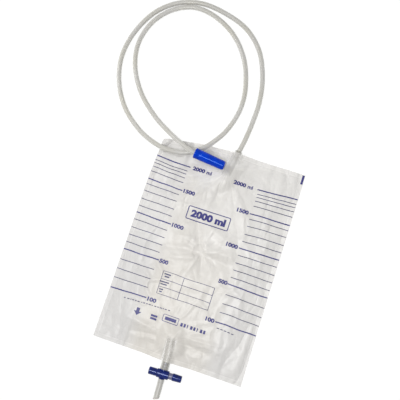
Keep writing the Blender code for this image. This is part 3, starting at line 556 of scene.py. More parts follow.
def floor_finish(look):
    """White ground: the camera, gloss and clear plastic see it nearly white, with the shadow kept."""
    paint = Paint("white_ground")
    matt = paint.add("ShaderNodeBsdfDiffuse", None, {"Color": shade(0.93, 0.93, 0.925)})
    glow = paint.add("ShaderNodeEmission", None, {"Color": shade(1.0, 1.0, 0.995), "Strength": 1.06})
    share = paint.background_rays() * (1.0 - look.shadow)
    both = paint.add("ShaderNodeMixShader", None, {0: share, 1: matt, 2: glow})
    paint.add("ShaderNodeOutputMaterial", None, {"Surface": both})
    return paint.material


# Meshes

def in_frame(points):
    """Bag millimetres to metres in the part's own frame."""
    return (np.asarray(points, dtype=float) + (0.0, BAG_Y, 0.0)) * MM


def linked(name, data):
    """Put an object into the scene."""
    obj = bpy.data.objects.new(name, data)
    bpy.context.scene.collection.objects.link(obj)
    return obj


def piece(name, points, faces, material, sharp=40.0):
    """Make one smooth-shaded object from points in metres."""
    mesh = bpy.data.meshes.new(name)
    mesh.from_pydata([tuple(point) for point in points], [], faces)
    mesh.update()
    mesh.shade_smooth()
    mesh.set_sharp_from_angle(angle=math.radians(sharp))
    mesh.materials.append(material)
    return linked(name, mesh)


def carried(obj, body, slot, *nodes):
    """Let a piece ride on a body and stand for CAD nodes, which it hides. The slot is not used."""
    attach(obj, body)
    if nodes:
        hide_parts(*nodes)
    return obj


def plain_mesh(obj):
    """Turn what an object's modifiers make into its mesh, and remove them."""
    graph = bpy.context.evaluated_depsgraph_get()
    mesh = bpy.data.meshes.new_from_object(obj.evaluated_get(graph), depsgraph=graph)
    obj.modifiers.clear()
    obj.data = mesh
    mesh.name = obj.name
    return obj


def ring_faces(rings, closed):
    """Faces from each ring of points to the next, where a ring may be a single point."""
    faces = []
    for first, second in zip(rings, rings[1:] + (rings[:1] if closed else [])):
        count = max(len(first), len(second))
        for i in range(count):
            j = (i + 1) % count
            corners = [first[i % len(first)], first[j % len(first)],
                       second[j % len(second)], second[i % len(second)]]
            faces.append(list(dict.fromkeys(corners)))
    return faces


def turned(outline, facets):
    """Points and faces of an outline of (station, radius) turned round the X axis."""
    points = []
    rings = []
    for station, radius in outline:
        count = 1 if radius == 0.0 else facets
        rings.append([len(points) + i for i in range(count)])
        for i in range(count):
            angle = 2.0 * math.pi * i / facets
            points.append((station, radius * math.cos(angle), radius * math.sin(angle)))
    return np.array(points), ring_faces(rings, outline[0][1] > 0.0)


def joined(shapes):
    """Several (points, faces) as one."""
    points = np.concatenate([shape[0] for shape in shapes])
    faces = []
    start = 0
    for shape_points, shape_faces in shapes:
        faces += [[start + i for i in face] for face in shape_faces]
        start += len(shape_points)
    return points, faces


def moved(shape, origin, heading=0.0):
    """Turn a shape about Z and take its X axis to the origin given."""
    points, faces = shape
    cosine, sine = math.cos(heading), math.sin(heading)
    turn = np.array(((cosine, sine, 0.0), (-sine, cosine, 0.0), (0.0, 0.0, 1.0)))
    return points @ turn + origin, faces


def outward(obj):
    """Turn every face of a closed piece outwards."""
    bm = bmesh.new()
    bm.from_mesh(obj.data)
    bmesh.ops.recalc_face_normals(bm, faces=bm.faces)
    bm.to_mesh(obj.data)
    bm.free()
    return obj


def tube_wall(path, outer_r, bore_r, facets, slant=0.0, round_r=0.25):
    """A hollow tube along a path, with softened ends, the last cut out of square by slant."""
    path = np.asarray(path, dtype=float)
    first = path[1] - path[0]
    last = path[-1] - path[-2]
    first = first / np.linalg.norm(first) * round_r
    last = last / np.linalg.norm(last) * round_r
    path = np.concatenate([path[:1], path[:1] + first, path[1:-1], path[-1:] - last, path[-1:]])
    along = np.gradient(path, axis=0)
    along /= np.linalg.norm(along, axis=1)[:, None]
    side = np.cross(along, (0.0, 0.0, 1.0))
    side /= np.linalg.norm(side, axis=1)[:, None]
    up = np.cross(side, along)
    angles = 2.0 * np.pi * np.arange(facets) / facets
    inset = np.zeros(len(path))
    inset[0] = inset[-1] = round_r
    lean = np.zeros(len(path))
    lean[-2:] = slant
    walls = []
    for radius, way in ((outer_r, -1.0), (bore_r, 1.0)):
        radii = radius + way * inset
        spoke = side[:, None] * np.cos(angles)[None, :, None] + up[:, None] * np.sin(angles)[None, :, None]
        tilt = along[:, None] * (lean[:, None] * np.cos(angles) * radius / outer_r)[..., None]
        walls.append(path[:, None] + spoke * radii[:, None, None] + tilt)
    # The rings run up the bore and back down the outside, which turns every face outwards
    points = np.concatenate([walls[1], walls[0][::-1]])
    rings = np.arange(len(points) * facets).reshape(-1, facets).tolist()
    return points.reshape(-1, 3), ring_faces(rings, True)


def smooth_route(points, step):
    """Evenly spaced points on a Catmull-Rom curve through the given points."""
    points = np.asarray(points, dtype=float)
    ends = np.concatenate([2 * points[:1] - points[1:2], points, 2 * points[-1:] - points[-2:-1]])
    share = np.linspace(0.0, 1.0, 24, endpoint=False)[:, None]
    dense = []
    for a, b, c, d in zip(ends, ends[1:], ends[2:], ends[3:]):
        dense.append(0.5 * (2 * b + (c - a) * share + (2 * a - 5 * b + 4 * c - d) * share ** 2
                            + (3 * b - a - 3 * c + d) * share ** 3))
    dense = np.concatenate(dense + [points[-1:]])
    run = np.concatenate([[0.0], np.cumsum(np.linalg.norm(np.diff(dense, axis=0), axis=1))])
    wanted = np.linspace(0.0, run[-1], max(int(round(run[-1] / step)), 2) + 1)
    return np.stack([np.interp(wanted, run, dense[:, i]) for i in range(3)], axis=1)


def fitting(name, body, slot, node, outline, facets, place, heading, material, sharp=30.0):
    """A moulded piece turned from an outline, which rides on a body and stands for a CAD node."""
    points, faces = moved(turned(outline, facets), place, heading)
    obj = outward(piece(name, in_frame(points), faces, material, sharp))
    return carried(obj, body, slot, node)


def tube_piece(name, slot, node, path, radii, facets, material, slant=0.0):
    """A hollow tube that rides on the bag and stands for a CAD node."""
    points, faces = tube_wall(path, *radii, facets, slant)
    return carried(piece(name, in_frame(points), faces, material, 50.0), "bag", slot, node)


# The films' shape, over whole arrays of places

def smooth_step(value):
    """0 below 0, 1 above 1, with an easy slope between."""
    share = np.clip(value, 0.0, 1.0)
    return share * share * (3.0 - 2.0 * share)


def soft_max(a, b, blend=1.5):
    """The larger of two heights, with the crease between them rounded."""
    overlap = np.maximum(blend - np.abs(a - b), 0.0) / blend
    return np.maximum(a, b) + overlap * overlap * blend / 4.0


def mix(a, b, share):
    """From a to b by share."""
    return a + (b - a) * share


def arch(offset, half_width):
    """1 over a tube's axis, falling as a parabola to 0 at the half width."""
    return np.maximum(0.0, 1.0 - (offset / half_width) ** 2)


def inlet_axis_x(y):
    """Where the leaning inlet port's axis lies at a height up the bag."""
    return INLET_X + (y - TOP_EDGE) * math.tan(INLET_LEAN)


def outlet_axis_x(y):
    """Where the outlet tube's axis lies: in line with the tap, then curving to the left."""
    share = (y - STUB_END) / (BOTTOM_EDGE + OUTLET_DEPTH - STUB_END)
    straight = OUTLET_X - (y - TAP[1]) * math.tan(TAP_TURN)
    return straight - OUTLET_SWAY * np.clip(share, 0.0, 1.0) ** 2


def near_line(x, y, start, end):
    """Distance from a line between two places."""
    (ax, ay), (bx, by) = start, end
    length = (bx - ax) ** 2 + (by - ay) ** 2
    share = np.clip(((x - ax) * (bx - ax) + (y - ay) * (by - ay)) / length, 0.0, 1.0)
    return np.hypot(x - ax - share * (bx - ax), y - ay - share * (by - ay))


def mound(x, y, centre, reach, height):
    """A rounded rise of the front film under something that lies on it."""
    share = ((x - centre[0]) / reach) ** 2 + ((y - centre[1]) / MOUND_REACH_Y) ** 2
    return height * np.maximum(0.0, 1.0 - share) ** 2


def from_weld(x, y):
    """How far in a place lies from the welds at the sides, and from those at the ends."""
    return BAG_WIDTH / 2 - WELD_WIDTH - np.abs(x), BAG_LENGTH / 2 - WELD_WIDTH - np.abs(y)


def edge_fade(x, y):
    """0 on the welded band, 1 well inside the bag."""
    return smooth_step(np.minimum(*from_weld(x, y)) / EDGE_FADE)


def port_ridge(offset, depth, crest, reach):
    """The front film stands over a port, and sinks again past the port's inner end."""
    return crest * arch(offset, RIDGE_SPREAD) * (1.0 - smooth_step(depth / reach - 1.0))


def crumple(x, y, seed):
    """A net of soft creases between seeded places, faded in and out by slow waves."""
    source = np.random.default_rng(seed)
    places = source.uniform((-104, -148), (104, 148), (74, 2))
    waves = source.uniform((0.10, 0.0, 0.0), (0.22, 2 * np.pi, 2 * np.pi), (6, 3))
    warp = [np.zeros_like(x), np.zeros_like(x)]
    slow = np.zeros_like(x)
    for k, (pitch, heading, phase) in enumerate(waves):
        wave = np.sin((x * np.cos(heading) + y * np.sin(heading)) * pitch + phase)
        warp[k % 2] += 2.2 * wave
        slow += np.sin((x * np.sin(heading) + y * np.cos(heading)) * pitch * 0.55 + 2 * phase)
    apart = np.hypot(x[..., None] + warp[0][..., None] - places[:, 0],
                     y[..., None] + warp[1][..., None] - places[:, 1])
    apart.sort(axis=-1)
    crease = np.exp(-((apart[..., 1] - apart[..., 0]) / 4.6) ** 2)
    return crease * (0.75 + 0.25 * slow) + 0.16 * slow


def spreading(x, y, crease):
    """One fine crease that widens and dies out along its length."""
    (hub_x, hub_y), heading, length, height, half_width = crease
    cosine, sine = math.cos(math.radians(heading)), math.sin(math.radians(heading))
    along = ((x - hub_x) * cosine + (y - hub_y) * sine) / length
    bow = 0.06 * length * np.sin(np.pi * np.clip(along, 0.0, 1.0)) * math.sin(heading)
    across = (y - hub_y) * cosine - (x - hub_x) * sine - bow
    wide = half_width * (0.45 + 0.85 * np.clip(along, 0.0, 1.0))
    share = smooth_step(along * 7.0) * smooth_step((1.0 - along) * 2.2)
    return height * share * np.exp(-(across / wide) ** 2)


def edge_puckers(x, y):
    """Small gathers that run in from the welds."""
    to_side, to_end = from_weld(x, y)
    side = np.sin(y / 2.3 + 1.7 * np.sin(y / 17.0) + np.sign(x)) * np.exp(-(to_side / 11.0) ** 2)
    end = np.sin(x / 2.6 + 1.9 * np.sin(x / 15.0) + np.sign(y)) * np.exp(-(to_end / 12.0) ** 2)
    return 0.32 * (side * (0.6 + 0.4 * np.sin(y / 29.0)) + end * (0.6 + 0.4 * np.sin(x / 23.0)))


def film_rise(x, y, fade):
    """How high the air in the bag, the capped tube's bed and the broad folds lift the front film."""
    across = np.minimum(np.abs(x) / (BAG_WIDTH / 2 - WELD_WIDTH), 1.0)
    along = np.minimum(np.abs(y) / (BAG_LENGTH / 2 - WELD_WIDTH), 1.0)
    rise = PILLOW_RISE * ((1.0 - across ** 2.2) * (1.0 - along ** 2.6)) ** 0.8
    for rest, reach, height in MOUNDS:
        rise = soft_max(rise, mound(x, y, CAP_MOUTH + rest * CAP_AXIS, reach, height) * fade)
    folds = sum(height * np.exp(-(near_line(x, y, start, end) / half_width) ** 1.5)
                for start, end, height, half_width in FOLDS)
    return rise + folds * fade * np.minimum(1.0, rise / 3.0)


def fine_creases(x, y, rise, ridges):
    """Small creases of the front film, which only sink under the tube and cap that lie on it."""
    fine = sum(spreading(x, y, crease) for crease in CREASES)
    fine = fine + 0.75 * crumple(x, y, FRONT_SEED) + edge_puckers(x, y)
    free = np.minimum(1.0, rise / 2.6) * smooth_step(np.minimum(*from_weld(x, y)) / 6.0)
    free = free * (1.0 - smooth_step(ridges / 3.0))
    loaded = near_line(x, y, CAP_MOUTH[:2], (CAP_MOUTH + CAP_LENGTH * CAP_AXIS)[:2]) - 3.0
    for place in ROUTE:
        loaded = np.minimum(loaded, np.hypot(x - place[0], y - place[1]) - 12.0)
    raised = np.maximum(fine, 0.0) * smooth_step((loaded - 6.0) / 8.0)
    return free * (raised + np.minimum(fine, 0.0))


def film_faces(x, y, crease_height):
    """Heights of the front and the back film's inner faces."""
    inlet = x - inlet_axis_x(y)
    outlet = x - outlet_axis_x(y)
    inlet_ridge = port_ridge(inlet, TOP_EDGE - y, INLET_CREST, INLET_DEPTH + SLEEVE_GRIP)
    outlet_ridge = port_ridge(outlet, y - BOTTOM_EDGE, OUTLET_CREST, OUTLET_DEPTH)
    fade = edge_fade(x, y)
    rise = film_rise(x, y, fade)
    front = soft_max(FILM_WALL + TOUCH_GAP + rise, inlet_ridge)
    front = soft_max(front, outlet_ridge)
    front = front + crease_height * fine_creases(x, y, rise, np.maximum(inlet_ridge, outlet_ridge))

    ripple = np.maximum(0.35 + crumple(x, y, BACK_SEED), 0.0) * np.minimum(1.0, rise / 5.0)
    back = FILM_WALL + 0.8 * crease_height * fade * ripple
    pressed = np.maximum(arch(inlet, INLET_PRESS[0]) * smooth_step((y - INLET_PRESS[1]) / INLET_PRESS[2]),
                         arch(outlet, OUTLET_PRESS[0]) * smooth_step((OUTLET_PRESS[1] - y) / OUTLET_PRESS[2]))
    back = mix(back, FILM_WALL, smooth_step(4.0 * pressed))

    ends = ((inlet, TOP_EDGE - y, INLET_Z, INLET_WRAP_R), (outlet, y - BOTTOM_EDGE, OUTLET_Z, OUTLET_WRAP_R))
    for offset, depth, axis_z, wrap_r in ends:
        share = 1.0 - smooth_step((depth - WELD_WIDTH) / WELD_BLEND - 0.2)
        share = share * (1.0 - smooth_step((np.abs(offset) - 3 * wrap_r) / WELD_FLARE))
        away = smooth_step((np.abs(offset) - WELD_HUG * wrap_r) / WELD_FLARE)
        middle = mix(axis_z, FILM_WALL + TOUCH_GAP / 2, away)
        apart = TOUCH_GAP / 2 + (wrap_r - TOUCH_GAP / 2) * arch(offset, WELD_HUG * wrap_r)
        front = mix(front, middle + apart, share)
        back = mix(back, middle - apart, share)
    return front, back


def corner_buckle(x, y):
    """How the top left corner is drawn in across, along and up."""
    away = np.hypot(x + BAG_WIDTH / 2, y - TOP_EDGE)
    share = np.maximum(0.0, 1.0 - away / CORNER_REACH) ** 1.3
    hump = np.sin(np.pi * np.maximum((share - CORNER_CREST) / (1.0 - CORNER_CREST), 0.0))
    return CORNER_PULL[0] * share, CORNER_PULL[1] * share, CORNER_LIFT * hump


def grid_faces(rows, columns):
    """Quads of a grid, and the ring of its border."""
    faces = []
    for j in range(rows - 1):
        for i in range(columns - 1):
            a = j * columns + i
            faces.append((a, a + 1, a + columns + 1, a + columns))
    border = list(range(columns))
    border += [j * columns + columns - 1 for j in range(1, rows)]
    border += [(rows - 1) * columns + i for i in range(columns - 2, -1, -1)]
    border += [j * columns for j in range(rows - 2, 0, -1)]
    return faces, border


def slab(name, low, high, flat, material):
    """A thin closed sheet between two grids of points, with its flat cut as a UV map."""
    rows, columns = low.shape[:2]
    top, border = grid_faces(rows, columns)
    count = rows * columns
    faces = [tuple(count + i for i in face) for face in top] + [face[::-1] for face in top]
    for a, b in zip(border, border[1:] + border[:1]):
        faces.append((a, b, count + b, count + a))
    points = in_frame(np.concatenate([low.reshape(-1, 3), high.reshape(-1, 3)]))
    obj = piece(name, points, faces, material, 60.0)
    corners = np.empty(len(obj.data.loops), dtype=np.int32)
    obj.data.loops.foreach_get("vertex_index", corners)
    cut = np.concatenate([flat.reshape(-1, 2)] * 2)[corners]
    layer = obj.data.uv_layers.new(name="flat")
    layer.data.foreach_set("uv", cut.astype(np.float32).ravel())
    return obj


def between(inner, wall, side):
    """The lower and the upper face of the front (0) or the back (1) one of two films."""
    outer = inner + (0.0, 0.0, wall if side == 0 else -wall)
    return (inner, outer) if side == 0 else (outer, inner)


def film_sheet(name, side, cell, crease_height, material):
    """One of the bag's two films."""
    columns = int(BAG_WIDTH / cell) + 1
    rows = int(BAG_LENGTH / cell) + 1
    x, y = np.meshgrid(np.linspace(-BAG_WIDTH / 2, BAG_WIDTH / 2, columns),
                       np.linspace(BOTTOM_EDGE, TOP_EDGE, rows))
    z = film_faces(x, y, crease_height)[side]
    pull_x, pull_y, lift = corner_buckle(x, y)
    low, high = between(np.stack([x + pull_x, y + pull_y, z + lift], axis=-1), FILM_WALL, side)
    flat = np.stack([x / BAG_WIDTH + 0.5, y / BAG_LENGTH + 0.5], axis=-1)
    return slab(name, low, high, flat, material)


def sleeve_sheet(name, side, material):
    """One film of the non-return valve: round at the port, flat at its free end."""
    top = TOP_EDGE + (SLEEVE_GRIP - INLET_DEPTH + INLET_PROUD) * INLET_AXIS[1]
    down, across = np.meshgrid(np.linspace(SLEEVE_LENGTH, 0.0, SLEEVE_ROWS),
                               np.linspace(-0.5, 0.5, SLEEVE_COLUMNS), indexing="ij")
    y = top - down
    offset = SLEEVE_WIDTH * across
    middle = arch(offset, SLEEVE_WIDTH / 2)
    opened = 1.0 - smooth_step((down - SLEEVE_GRIP) / (SLEEVE_LENGTH * 0.45))
    low_face = FILM_WALL + TOUCH_GAP + SLEEVE_WALL
    ripple = 0.25 * (1.0 + np.sin(down / 4.2 + 2.2 * across)) * (1.0 - opened) * middle
    high_face = mix(low_face + TOUCH_GAP + ripple, INLET_CREST - TOUCH_GAP - SLEEVE_WALL, opened * middle)
    face = high_face if side == 0 else np.full_like(y, low_face)
    low, high = between(np.stack([inlet_axis_x(y) + offset, y, face], axis=-1), SLEEVE_WALL, side)
    flat = np.stack([across * SLEEVE_WIDTH / BAG_WIDTH + 0.5, 0.5 - down / BAG_LENGTH], axis=-1)
    return slab(name, low, high, flat, material)


# The print

def bars_recipe():
    """Geometry Nodes: a thin bar on each point, laid down on the film."""
    group = bpy.data.node_groups.new("printed bars", "GeometryNodeTree")
    for label, kind in (("Places", "Geometry"), ("Film", "Object"), ("Steps", "Int"),
                        ("Lift", "Float"), ("Waver", "Float"), ("Ink", "Material")):
        group.interface.new_socket(label, in_out="INPUT", socket_type="NodeSocket" + kind)
    group.interface.new_socket("Print", in_out="OUTPUT", socket_type="NodeSocketGeometry")
    tree = Tree(group)
    given = tree.outputs("NodeGroupInput")
    wide, tall, turn = [tree.add("GeometryNodeInputNamedAttribute", {"data_type": "FLOAT"}, {"Name": key})
                        for key in ("bar_length", "bar_width", "bar_turn")]
    bar = tree.add("GeometryNodeMeshGrid", None,
                   {"Size X": 1.0, "Size Y": 1.0, "Vertices X": given["Steps"], "Vertices Y": 2})
    heading = tree.add("FunctionNodeEulerToRotation", None, {0: tree.vector(z=turn)})
    bars = tree.add("GeometryNodeInstanceOnPoints", None,
                    {"Points": given["Places"], "Instance": bar, "Rotation": heading,
                     "Scale": tree.vector(wide, tall, 1.0)})
    bars = tree.add("GeometryNodeRealizeInstances", None, {0: bars})
    drift = tree.add("ShaderNodeTexNoise", None, {"Scale": 1.0 / (34.0 * MM), "Detail": 1.0}, "Fac")
    bars = tree.add("GeometryNodeSetPosition", None,
                    {"Geometry": bars, "Offset": tree.vector(y=(drift - 0.5) * given["Waver"])})
    film = tree.add("GeometryNodeObjectInfo", {"transform_space": "RELATIVE"},
                    {"Object": given["Film"]}, "Geometry")
    hit = tree.add("GeometryNodeRaycast", None,
                   {"Target Geometry": film, "Source Position": tree.add("GeometryNodeInputPosition"),
                    "Ray Direction": (0.0, 0.0, -1.0), "Ray Length": 0.2}, "Hit Position")
    missed = tree.add("FunctionNodeBooleanMath", {"operation": "NOT"},
                      {0: Value(tree, hit.socket.node.outputs["Is Hit"])})
    lifted = tree.add("ShaderNodeVectorMath", {"operation": "ADD"}, {0: hit, 1: tree.vector(z=given["Lift"])})
    laid = tree.add("GeometryNodeDeleteGeometry", {"domain": "POINT"},
                    {"Geometry": bars, "Selection": missed})
    laid = tree.add("GeometryNodeSetPosition", None, {"Geometry": laid, "Position": lifted})
    inked = tree.add("GeometryNodeSetMaterial", None, {"Geometry": laid, "Material": given["Ink"]})
    tree.add("NodeGroupOutput", None, {0: inked})
    return group


def line_heights(volume):
    """How far up the bag a volume's line ends: left outer, left inner, right inner, right outer."""
    below = dict(LEVELS)
    main = sorted(LINE_ENDS, reverse=True)
    places = [below[level] for level in main]
    return [float(np.interp(below[volume], places, [LINE_ENDS[level][k] for level in main]))
            for k in range(4)]


def ruled(start, end, width):
    """A bar between two places, as (x, y, length, width, turn)."""
    across, up = end[0] - start[0], end[1] - start[1]
    return (start[0] + across / 2, start[1] + up / 2, math.hypot(across, up), width, math.atan2(up, across))


def printed_bars(name, bars, film, steps, look, ink):
    """Lay bars of (x, y, length, width, turn) on the film."""
    points = in_frame([(x, y, PRINT_START) for x, y, _, _, _ in bars])
    obj = piece(name, points, [], ink)
    for key, column, unit in (("bar_length", 2, MM), ("bar_width", 3, MM), ("bar_turn", 4, 1.0)):
        layer = obj.data.attributes.new(key, "FLOAT", "POINT")
        layer.data.foreach_set("value", [bar[column] * unit for bar in bars])
    group = bars_recipe()
    modifier = obj.modifiers.new("printed bars", "NODES")
    modifier.node_group = group
    wanted = {"Film": film, "Steps": steps, "Lift": look.lift * MM, "Waver": look.waver * MM, "Ink": ink}
    for item in group.interface.items_tree:
        if item.in_out == "INPUT" and item.name in wanted:
            modifier[item.identifier] = wanted[item.name]
    return carried(plain_mesh(obj), "bag", "print_ink")


def lettering(text, left, bottom, width, height, weight=0.012):
    """Flat points and faces of a few figures, fitted into a rectangle."""
    curve = bpy.data.curves.new("figures", "FONT")
    curve.body = text
    curve.offset = weight
    curve.resolution_u = 4
    obj = linked("figures", curve)
    graph = bpy.context.evaluated_depsgraph_get()
    mesh = bpy.data.meshes.new_from_object(obj.evaluated_get(graph), depsgraph=graph)
    points = np.array([vertex.co[:] for vertex in mesh.vertices])
    faces = [tuple(face.vertices) for face in mesh.polygons]
    bpy.data.objects.remove(obj, do_unlink=True)
    bpy.data.meshes.remove(mesh)
    low = points.min(axis=0)
    size = points.max(axis=0) - low
    flat = (points - low)[:, :2] / size[:2] * (width, height) + (left, bottom)
    return np.column_stack([flat, np.zeros(len(flat))]), faces


def rectangle(left, bottom, width, height):
    """A flat block."""
    points = [(left, bottom, 0), (left + width, bottom, 0),
              (left + width, bottom + height, 0), (left, bottom + height, 0)]
    return np.array(points, dtype=float), [(0, 1, 2, 3)]


def outline_band(left, bottom, width, height, corner, line):
    """A rounded rectangle drawn as a band of one line's width."""
    points = []
    for radius in (corner, max(corner - line, 0.05)):
        for quarter in range(4):
            x = left + (width - corner if quarter in (0, 3) else corner)
            y = bottom + (height - corner if quarter in (0, 1) else corner)
            for k in range(7):
                angle = math.radians(90.0 * quarter + 15.0 * k)
                points.append((x + radius * math.cos(angle), y + radius * math.sin(angle), 0.0))
    count = len(points) // 2
    faces = [(i, (i + 1) % count, count + (i + 1) % count, count + i) for i in range(count)]
    return np.array(points), faces


def lay_on_film(name, shapes, film, lift, ink):
    """Cut flat print into small cells and lay it down on the film."""
    points, faces = joined(shapes)
    bm = bmesh.new()
    verts = [bm.verts.new(point) for point in points]
    for face in faces:
        bm.faces.new([verts[i] for i in face])
    for axis in (0, 1):
        normal = Vector((1.0 - axis, float(axis), 0.0))
        low, high = points[:, axis].min(), points[:, axis].max()
        for k in range(1, int((high - low) / PRINT_CELL) + 1):
            everything = bm.verts[:] + bm.edges[:] + bm.faces[:]
            bmesh.ops.bisect_plane(bm, geom=everything, plane_co=normal * (low + k * PRINT_CELL),
                                   plane_no=normal)
    tree = BVHTree.FromPolygons([vertex.co for vertex in film.data.vertices],
                                [face.vertices for face in film.data.polygons])
    for vertex in bm.verts:
        x, y, _ = in_frame(vertex.co)
        hit = tree.ray_cast(Vector((x, y, 0.1)), Vector((0.0, 0.0, -1.0)))[0]
        vertex.co = (x, y, (hit.z if hit else 0.0) + lift * MM)
    for face in bm.faces:
        face.normal_update()
        if face.normal.z < 0.0:
            face.normal_flip()
    mesh = bpy.data.meshes.new(name)
    bm.to_mesh(mesh)
    bm.free()
    mesh.materials.append(ink)
    return carried(linked(name, mesh), "bag", "print_ink")


# What a user would change

def amount(name, description, default, **limits):
    """A number on a group of settings."""
    return bpy.props.FloatProperty(name=name, description=description, default=default, **limits)


def fraction(name, description, default):
    """A number from 0 to 1 on a group of settings."""
    return amount(name, description, default, subtype="FACTOR")


def swatch(name, description, *default):
    """A colour on a group of settings, with its opacity where a fourth number is given."""
    return bpy.props.FloatVectorProperty(
        name=name, description=description, size=len(default), subtype="COLOR", default=default)


class DrainageBagFilm(bpy.types.PropertyGroup):
    """The two welded films."""

    cell: amount("Cell", "Spacing of the front film's grid in millimetres", 1.5, min=1.0)
    crease_height: fraction("Crease height", "How strongly the fine creases stand out", 1.0)
    wrinkle_depth: amount("Wrinkle depth", "Depth of the smallest wrinkles in millimetres", 0.28)
    fold_depth: amount("Fold depth", "Depth of the crumpled folds in millimetres", 7.5)
    spread_slope: amount("Spread slope", "How steep the creases are that spread from the ports", 0.065)
    roughness: fraction("Roughness", "Roughness of the film", 0.34)
    front_opacity: fraction("Front opacity", "Haze of the front film", 0.66)
    back_opacity: fraction("Back opacity", "Haze of the back film", 0.42)
    cream: swatch("Middle colour", "Colour of the film in the middle", 0.765, 0.735, 0.685, 1.0)
    cool: swatch("Side colour", "Colour of the film under the scales", 0.745, 0.737, 0.732, 1.0)
    # This colour also serves as painted light toward the top and the right of the film.
    haze: swatch("Haze colour", "Colour of its cloudy patches", 0.88, 0.865, 0.84, 1.0)
    # The crease colour is a painted highlight along the sharpest creases.
    stress: swatch("Crease colour", "Colour along its sharpest creases", 0.98, 0.97, 0.92, 1.0)


class DrainageBagPrint(bpy.types.PropertyGroup):
    """The printed scale and frames."""

    ink: swatch("Ink", "Colour of the print", 0.012, 0.011, 0.14, 1.0)
    thick_line: amount("Thick line", "Width of the main scale lines in millimetres", 1.5)
    thin_line: amount("Thin line", "Width of the other lines in millimetres", 0.9)
    lift: amount("Lift", "Height of the ink over the film in millimetres", 0.16)
    waver: amount("Waver", "How far the lines wander on the crumpled film, in millimetres", 2.6)


class DrainageBagTubes(bpy.types.PropertyGroup):
    """The inlet tube, the ports and the drain."""

    outer_r: amount("Outer radius", "Inlet tube's outer radius in millimetres", 3.3)
    bore_r: amount("Bore radius", "Inlet tube's bore radius in millimetres", 2.3)
    clear: swatch("Clear", "Colour of the tubes", 0.735, 0.718, 0.655, 1.0)
    tint: swatch("Tint", "Colour that the tubes drift to", 0.745, 0.735, 0.71, 1.0)
    # The edge colour is painted shade for the tubes' edges and bore streaks.
    edge: swatch("Edge", "Colour of the wall seen along", 0.35, 0.335, 0.295, 1.0)
    roughness: fraction("Roughness", "Roughness of the tubes", 0.2)


class DrainageBagFittings(bpy.types.PropertyGroup):
    """The tap, the connector and the cap."""

    facets: bpy.props.IntProperty(
        name="Facets", description="Facets round each turned piece", default=72, min=24)
    navy: swatch("Navy", "Colour of the tap", 0.0, 0.010, 0.15)
    royal: swatch("Royal blue", "Colour of the cap", 0.0, 0.042, 0.54)
    natural: swatch("Natural", "Colour of the connector", 0.74, 0.74, 0.73)
    rod: swatch("Rod", "Colour of the plunger", 0.13, 0.13, 0.23)


class DrainageBagStage(bpy.types.PropertyGroup):
    """Ground, light and camera."""

    shadow: fraction("Shadow", "How much of the shadow the ground shows", 0.15)
    key_power: amount("Key light", "Power of the softbox overhead", 3.3, unit="POWER")
    left_power: amount("Left light", "Power of the softbox at the left", 2.4, unit="POWER")
    right_power: amount("Right light", "Power of the softbox at the right", 0.9, unit="POWER")
    sky: amount("Sky", "Strength of the white surroundings", 0.36)


def settings(name):
    """One of this file's groups of settings on the scene."""
    return getattr(bpy.context.scene, "drainage_bag_" + name)


# Outlines of the moulded pieces: (station, radius) along each one's own axis

def connector_outline():
    """The catheter connector: its collar, barrel and stepped nozzle, then back along its bore."""
    collar_r = CAP_MOUTH_R - CAP_WALL - TOUCH_GAP
    start = CONNECTOR_START
    outline = [(start, TUBE_SOCKET_R + 0.2), (start, collar_r - 0.5), (start + 0.15, collar_r - 0.3),
               (start + 0.3, collar_r), (COLLAR_END - 0.3, collar_r - 0.15), (COLLAR_END, collar_r - 0.5),
               (COLLAR_END, BARREL_R), (NOZZLE_START - 0.4, BARREL_R), (NOZZLE_START, BARREL_R - 0.2)]
    pitch = NOZZLE_LENGTH / NOZZLE_STEPS
    for step in range(NOZZLE_STEPS):
        at = NOZZLE_START + pitch * step
        radius = NOZZLE_R - NOZZLE_STEP * step
        outline += [(at, radius - 0.12), (at + 0.2, radius), (at + pitch - 0.8, radius - 0.3),
                    (at + pitch - 0.5, radius - 0.5)]
    tip = NOZZLE_START + NOZZLE_LENGTH
    tip_r = NOZZLE_R - NOZZLE_STEP * NOZZLE_STEPS
    outline += [(tip - 0.15, tip_r + 0.05), (tip, tip_r - 0.1), (tip, CONNECTOR_BORE_R + 0.1),
                (tip - 0.2, CONNECTOR_BORE_R), (SOCKET_END, CONNECTOR_BORE_R), (SOCKET_END, TUBE_SOCKET_R)]
    return outline + [(start + 0.2, TUBE_SOCKET_R)]


def cap_outline():
    """The cap: from its inner end to its mouth, round its lip and back to its rounded nose."""
    floor = CAP_LENGTH - CAP_FLOOR
    inner_r = CAP_NOSE_R - CAP_WALL
    mouth_r = CAP_MOUTH_R - CAP_WALL
    outline = [(floor, 0.0), (floor, inner_r - 1.5), (floor - 0.3, inner_r - 0.7),
               (floor - 1.0, inner_r - 0.15), (floor - 2.0, inner_r),
               (0.35, mouth_r), (0.1, mouth_r + 0.1), (0.0, mouth_r + 0.35),
               (0.0, CAP_MOUTH_R - 0.25), (0.1, CAP_MOUTH_R + 0.05), (0.35, CAP_MOUTH_R + 0.18),
               (CAP_LIP - 0.35, CAP_MOUTH_R + 0.18), (CAP_LIP - 0.15, CAP_MOUTH_R + 0.12),
               (CAP_LIP, CAP_MOUTH_R - 0.01)]
    shoulder = CAP_LENGTH - CAP_NOSE_ROUND
    for share in (0.2, 0.4, 0.6, 0.8):
        outline.append((mix(CAP_LIP, shoulder, share),
                        mix(CAP_MOUTH_R - 0.01, CAP_NOSE_R + 0.02, share)))
    outline += rounded_end(CAP_LENGTH, CAP_NOSE_R, CAP_NOSE_ROUND, 9)
    dimple = CAP_LENGTH - 0.08
    return outline + [(CAP_LENGTH, 1.4), (dimple, 1.2), (dimple, 0.0)]


